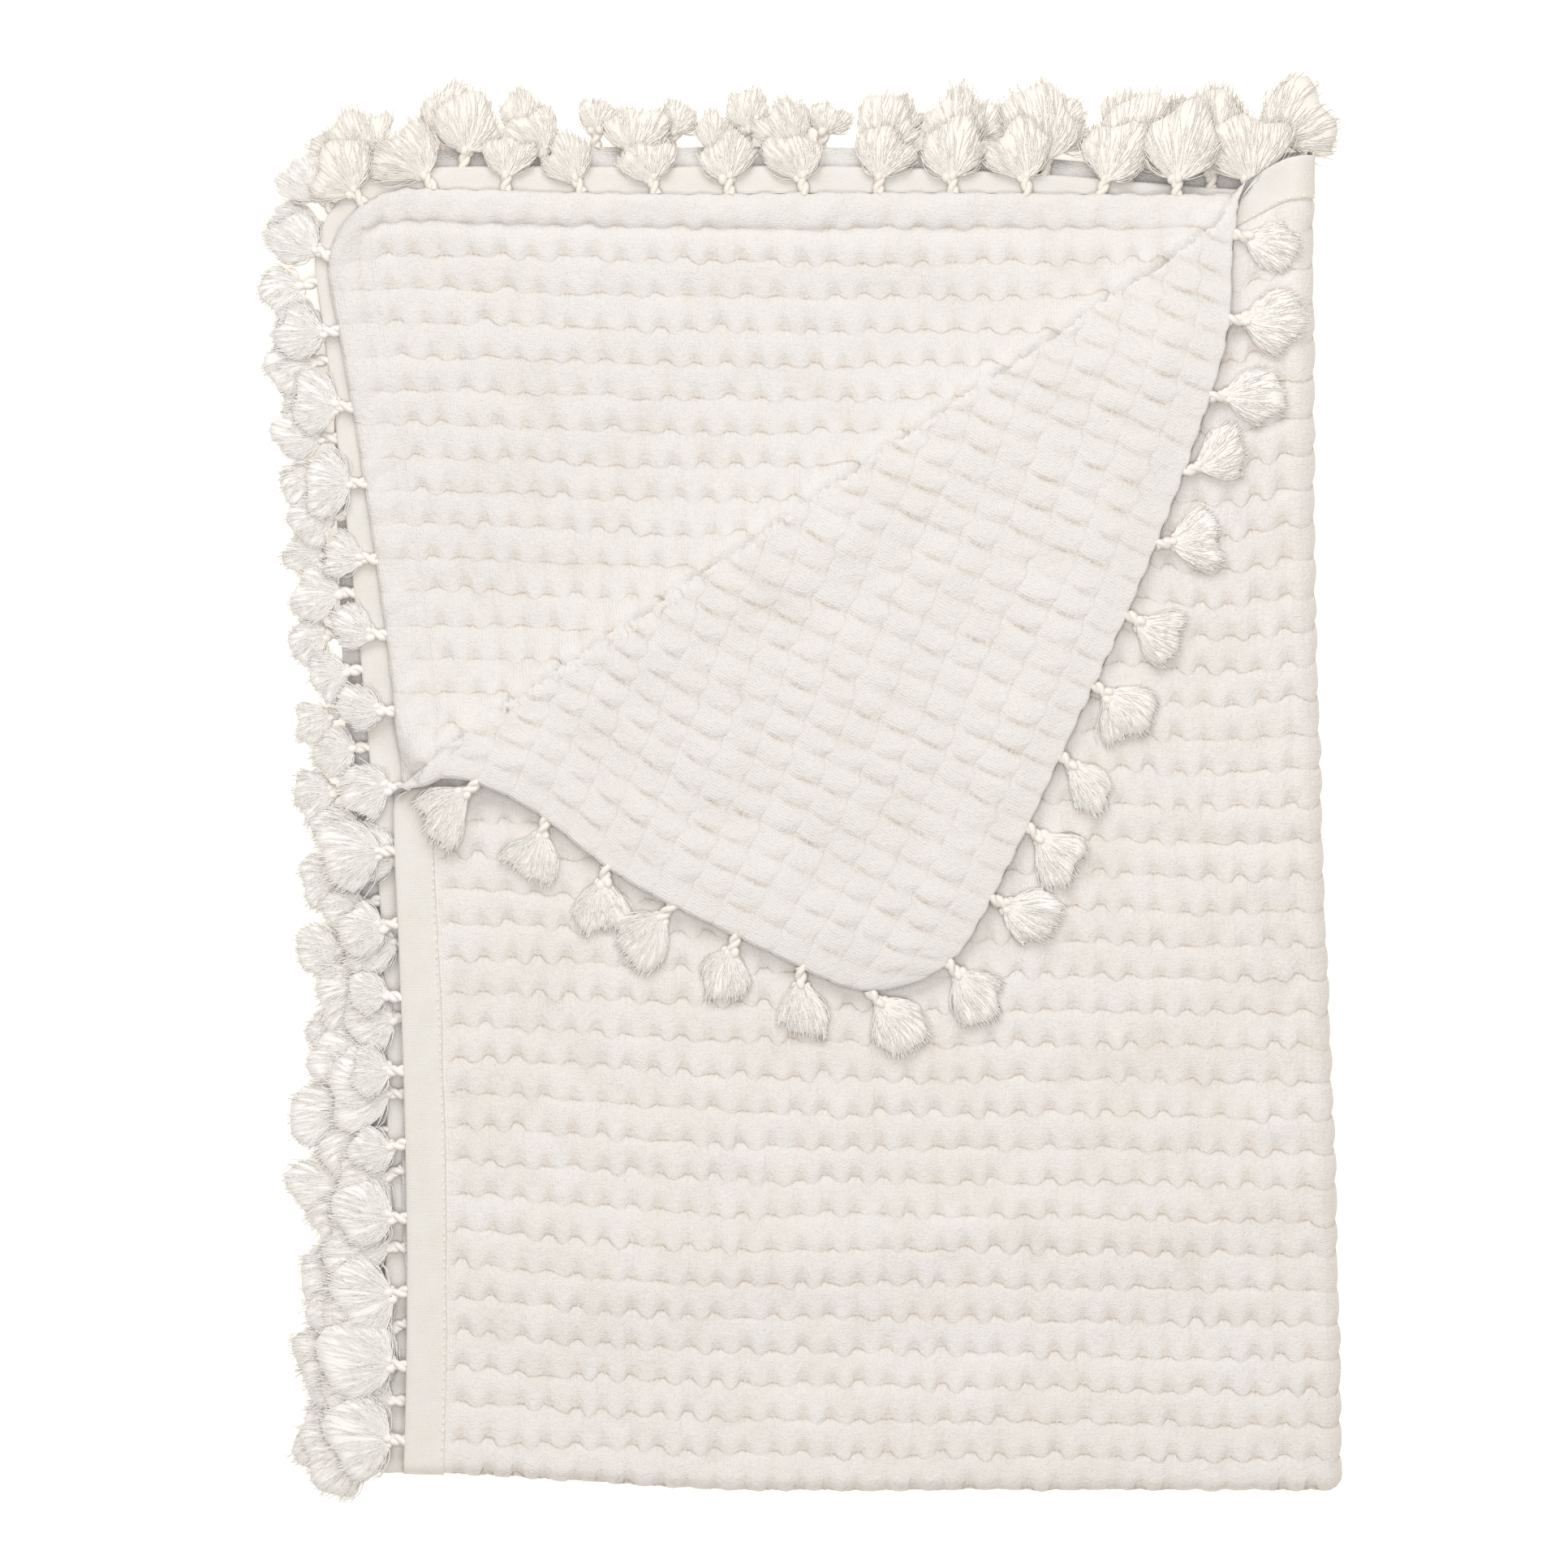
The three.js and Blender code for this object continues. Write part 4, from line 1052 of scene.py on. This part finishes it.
def yarn_tree():
    """Sweeps each path of yarn as a thin thread or a rounder cord, and puts a knot on each loose point."""
    numbers = {"Thread sides": 3, "Cord sides": 6, "Knot detail": 2, "Cord least": CORD_LEAST * MM}
    start, given = geometry_tree("yarns", numbers)
    thick = start.stored("thick")
    solid = start.stored("solid")
    bodies = start.add("GeometryNodeSeparateGeometry", {"domain": "POINT"}, {
        "Geometry": given["Geometry"], "Selection": start.math("GREATER_THAN", solid, 0.5),
    })
    paths = Link(start.tree, bodies.socket.node.outputs[1])
    curves = start.add("GeometryNodeMeshToCurve", None, {"Mesh": paths})
    curves = start.add("GeometryNodeSetCurveRadius", None, {"Curve": curves, "Radius": thick})
    is_cord = start.math("GREATER_THAN", thick, given["Cord least"])
    cords = start.add("GeometryNodeSeparateGeometry", {"domain": "CURVE"},
                      {"Geometry": curves, "Selection": is_cord})
    threads = Link(start.tree, cords.socket.node.outputs[1])
    parts = [bodies]
    for yarns, sides in ((cords, given["Cord sides"]), (threads, given["Thread sides"])):
        ring = start.add("GeometryNodeCurvePrimitiveCircle", None, {"Resolution": sides, "Radius": 1.0})
        sweep = {"Curve": yarns, "Profile Curve": ring, "Fill Caps": True}
        swept = start.add("GeometryNodeCurveToMesh", None, sweep)
        if "Scale" in swept.socket.node.inputs:
            radius = start.add("GeometryNodeInputRadius")
            start.tree.links.new(radius.socket, swept.socket.node.inputs["Scale"])
        parts.append(swept)
    size = start.stored("size", "FLOAT_VECTOR")
    turn = start.stored("turn")
    is_knot = start.add("FunctionNodeCompare", {"data_type": "FLOAT", "operation": "LESS_EQUAL"},
                        {"A": thick, "B": 0.0})
    knots = start.add("GeometryNodeMeshToPoints", None, {"Mesh": paths, "Selection": is_knot})
    ball = start.add("GeometryNodeMeshIcoSphere", None, {"Radius": 1.0, "Subdivisions": given["Knot detail"]})
    spun = start.add("ShaderNodeCombineXYZ", None, {"Z": turn})
    balls = start.add("GeometryNodeInstanceOnPoints", None, {
        "Points": knots, "Instance": ball, "Rotation": spun, "Scale": size,
    })
    parts.append(start.add("GeometryNodeRealizeInstances", None, {"Geometry": balls}))
    joined = start.add("GeometryNodeJoinGeometry")
    for part in reversed(parts):
        start.tree.links.new(part.socket, joined.socket.node.inputs[0])
    return finished(start, given, joined), numbers


def add_tassel(yarns, random, root, heading, drop, longer, fan):
    """Adds a tassel that leaves its root along a heading, in radians from +X seen from above."""
    way = np.array([math.cos(heading), math.sin(heading), 0])
    side = np.array([-way[1], way[0], 0])
    up = np.array([0, 0, 1])

    def tassel_places(out, across, high):
        """Folded places of points of the tassel, which settles below its root as it leaves the seam."""
        level = high - drop * np.clip(out / SETTLE_OUT, 0, 1)
        points = root + out[..., None] * way + across[..., None] * side + level[..., None] * up
        points[..., 2] = np.maximum(points[..., 2], TASSEL_LOWEST)
        return points

    end = random.uniform(*fan["end"]) + longer
    half_fan = math.radians(fan["half"] * random.uniform(1 - FAN_SPREAD, 1 + FAN_SPREAD))
    bend = math.radians(random.uniform(-BEND, BEND))
    droop = random.uniform(*DROOP)
    waves = random.uniform(0, 2 * math.pi, 2)

    def reach_of(spread):
        """The length of threads by their place in the fan, uneven so that its end has soft lobes."""
        lobes = np.sin(3.4 * spread + waves[0]) + 0.6 * np.sin(7.5 * spread + waves[1])
        return (end - HEAD_OUT) * (1 - fan["cut"] * spread ** 2) * (1 + fan["lobes"] * lobes)

    def fanned(share, spread, stray, begin, long, layer, sway, phase):
        """Places along threads that burst out of the head and curve forward again."""
        turned = (spread[:, None] + share * stray[:, None]) * half_fan * (1.2 - 0.85 * share) + bend * share
        turned = turned + 0.3 * sway * np.sin(8 * share + phase[:, None])
        middle = (turned[:, 1:] + turned[:, :-1]) / 2
        step = long[:, None] * np.diff(share)
        out = np.cumsum(np.column_stack([begin, step * np.cos(middle)]), axis=1)
        across = np.cumsum(np.column_stack([spread * HEAD_HALF, step * np.sin(middle)]), axis=1)
        dome = np.interp(share, *DOME.T) - droop * share ** 2
        round_off = np.sqrt(np.maximum(0.2, 1 - 0.6 * spread ** 2))
        high = (layer * round_off)[:, None] * dome + 0.4 * sway * np.cos(8 * share + phase[:, None])
        return tassel_places(out, across, high)

    share = np.linspace(0, 1, THREAD_POINTS)
    spread = random.uniform(-1, 1, THREADS)
    spread += np.sign(spread) * SIDE_STRAY * (random.uniform(0, 1, THREADS) < fan["sides"])
    layer = random.uniform(*THREAD_LEVEL, THREADS)
    layer = layer * np.where(random.uniform(0, 1, THREADS) < UPPER_SHARE, 1, -1)
    begin = HEAD_OUT + random.uniform(-0.8, 0.8, THREADS)
    long = reach_of(spread) * random.uniform(*THREAD_REACH, THREADS)
    phase = random.uniform(0, 4.5, THREADS) + np.round(spread * 6) * 2.1
    stray = random.normal(0, STRAY, THREADS)
    stray = stray * np.where(random.uniform(0, 1, THREADS) < WILD_SHARE, WILD, 1)
    threads = fanned(share, spread, stray, begin, long, layer, smooth(0.05, 0.6, share), phase)
    taper = np.linspace(1.1, 0.9, THREAD_POINTS)
    yarns.add_paths(threads, THREAD_RADIUS * taper, fan["tone"] + random.uniform(-0.1, 0.1, THREADS))

    share = np.linspace(0, BODY_END, BODY_ROWS)
    spread = np.linspace(-BODY_SIDE, BODY_SIDE, BODY_COLUMNS)
    long = reach_of(spread)
    still = np.zeros(BODY_COLUMNS)
    faces = [
        fanned(share, spread, still, still + HEAD_OUT, long, still + layer, 0, still)
        for layer in (BODY_HIGH, -BODY_HIGH)
    ]
    shift = np.full((BODY_COLUMNS, BODY_ROWS), 40 * bend)
    lie = np.stack([*np.meshgrid(spread * STREAKS[0], share * STREAKS[1], indexing="ij"), shift], axis=-1)
    yarns.add_body(*faces, fan["tone"], lie)

    share = np.linspace(0, 1, STEM_POINTS)
    for half in (0, math.pi):
        spiral = STEM_TWIST * share + half + bend * 4
        out = -ROOT_OUT - STEM_TUCK + share * (HEAD_OUT + 0.2 + ROOT_OUT)
        stem = tassel_places(out, STEM_WIDE * np.cos(spiral), STEM_HIGH * np.sin(spiral))
        yarns.add_paths(stem[None], STEM_RADIUS, fan["tone"] + STEM_TONE)
    number = random.integers(4, 6)
    around = np.arange(number) * 2 * math.pi / number + random.uniform(0, 3)
    out = HEAD_OUT + KNOT_RING[0] * np.cos(around * 2 + 1)
    places = tassel_places(out, KNOT_RING[1] * np.cos(around), KNOT_RING[2] * np.sin(around))
    sizes = KNOT_SIZE * random.uniform(0.8, 1.2, (number, 1))
    yarns.add_knots(places, sizes, heading + random.uniform(-0.35, 0.35, number), fan["tone"] + STEM_TONE)


def tassel_row(seed, layer, edge, begin, finish, leans, drop, fan):
    """The yarns of one row of tassels."""
    yarns = Yarns()
    random = np.random.default_rng(seed)
    for number, lean in enumerate(leans):
        share = number / (len(leans) - 1)
        a, b, out_a, out_b = on_edge(layer, edge, begin + share * (finish - begin))
        outs = np.array([ROOT_OUT, ROOT_OUT + 1])
        near, far = placed(a + out_a * outs, b + out_b * outs, np.zeros(2))
        toss = LEAN_SPREAD * math.sin(number * LEAN_STEP + begin) + LEAN_TOSS * random.uniform(-1, 1)
        turn = math.radians(lean + fan["toss"] * toss)
        heading = math.atan2(far[1] - near[1], far[0] - near[0]) - turn
        longer = fan["grow"] * math.cos(1.5 * math.pi * share)
        add_tassel(yarns, random, near, heading, drop, longer, fan)
    return yarns


TASSEL_WHITE = colour(241, 238, 234)
TASSEL_DEEP = colour(227, 219, 208)


def tassel_streaks(start):
    lie = start.attribute("lie", 1)
    return start.noise(lie, 1, 1)


def tassel_base(start):
    tone = start.attribute("tone")
    shade = (tone + tassel_streaks(start) * 0.6 - 0.3).clamped()
    return shade.mixed(TASSEL_DEEP, TASSEL_WHITE)


def tassel_height(start):
    place = start.add("ShaderNodeTexCoord", output=3)
    fuzz = start.noise(place, 1800, 2)
    return fuzz + tassel_streaks(start) * 0.9


tassel_cotton = cotton("tassel_cotton", tassel_base, tassel_height, 0.00025, sheen=0.2)
tree, numbers = yarn_tree()
for seed, (name, row) in enumerate(TASSEL_ROWS.items(), 81):
    seeds = tassel_row(seed, *row).mesh(name + "_seed")
    piece = grown(name + "_visual", seeds, tree, {**numbers, "Material": tassel_cotton})
    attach(piece, "root")
    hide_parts(name)


# Floor, light and camera: a plain pale floor under soft light from the top of the view, looked at
# straight down.
PHOTO_PIXELS = 1932
PIXEL = 0.32
PHOTO_MIDDLE = FOLD_CORNER + [-215.1, 276.3, 0]
LENS, SENSOR = 200.0, 36.0
VIEW_HEIGHT = 0.010

FLOOR_HALF = 3.0
FLOOR_LOOK = {
    "Base Color": (0.9, 0.87, 0.82, 1), "Roughness": 0.9,
    "Emission Color": (1, 0.95, 0.88, 1), "Emission Strength": 0.4,
}
COOL = (0.945, 0.97, 1)
ROOM_COLOUR, ROOM_STRENGTH = (1, 0.935, 0.84, 1), 0.39

floor_mesh = bpy.data.meshes.new("floor")
floor_corners = [(x * FLOOR_HALF, y * FLOOR_HALF, 0) for x, y in ((-1, -1), (1, -1), (1, 1), (-1, 1))]
floor_mesh.from_pydata(floor_corners, [], [(0, 1, 2, 3)])
floor = piece_of("floor", floor_mesh)
floor_material = bpy.data.materials.new("floor_white")
floor_material.use_nodes = True
for socket, value in FLOOR_LOOK.items():
    floor_material.node_tree.nodes["Principled BSDF"].inputs[socket].default_value = value
floor_mesh.materials.append(floor_material)

scene = bpy.context.scene
scene.view_settings.view_transform = "Standard"
world = bpy.data.worlds.new("studio")
world.use_nodes = True
world.node_tree.nodes["Background"].inputs["Color"].default_value = ROOM_COLOUR
world.node_tree.nodes["Background"].inputs["Strength"].default_value = ROOM_STRENGTH
scene.world = world


def soft_light(name, place, size, power, tint):
    """A wide lamp that faces the blanket's middle and isn't seen itself."""
    data = bpy.data.lights.new(name, "AREA")
    data.shape = "RECTANGLE"
    data.size, data.size_y = size
    data.energy = power
    data.color = tint
    light = bpy.data.objects.new(name, data)
    scene.collection.objects.link(light)
    light.location = place
    light.rotation_euler = (-Vector(place)).to_track_quat("-Z", "Y").to_euler()
    light.visible_camera = False


soft_light("window", (-0.3, 1.7, 1.5), (2.2, 1.2), 30, COOL)
soft_light("overhead", (0, -0.25, 3.0), (1.8, 1.8), 58, COOL)

camera_data = bpy.data.cameras.new("camera")
camera_data.lens, camera_data.sensor_width = LENS, SENSOR
camera = bpy.data.objects.new("camera", camera_data)
scene.collection.objects.link(camera)
distance = PHOTO_PIXELS * PIXEL * MM * LENS / SENSOR
camera.location = (*PHOTO_MIDDLE[:2] * MM, VIEW_HEIGHT + distance)
scene.camera = camera
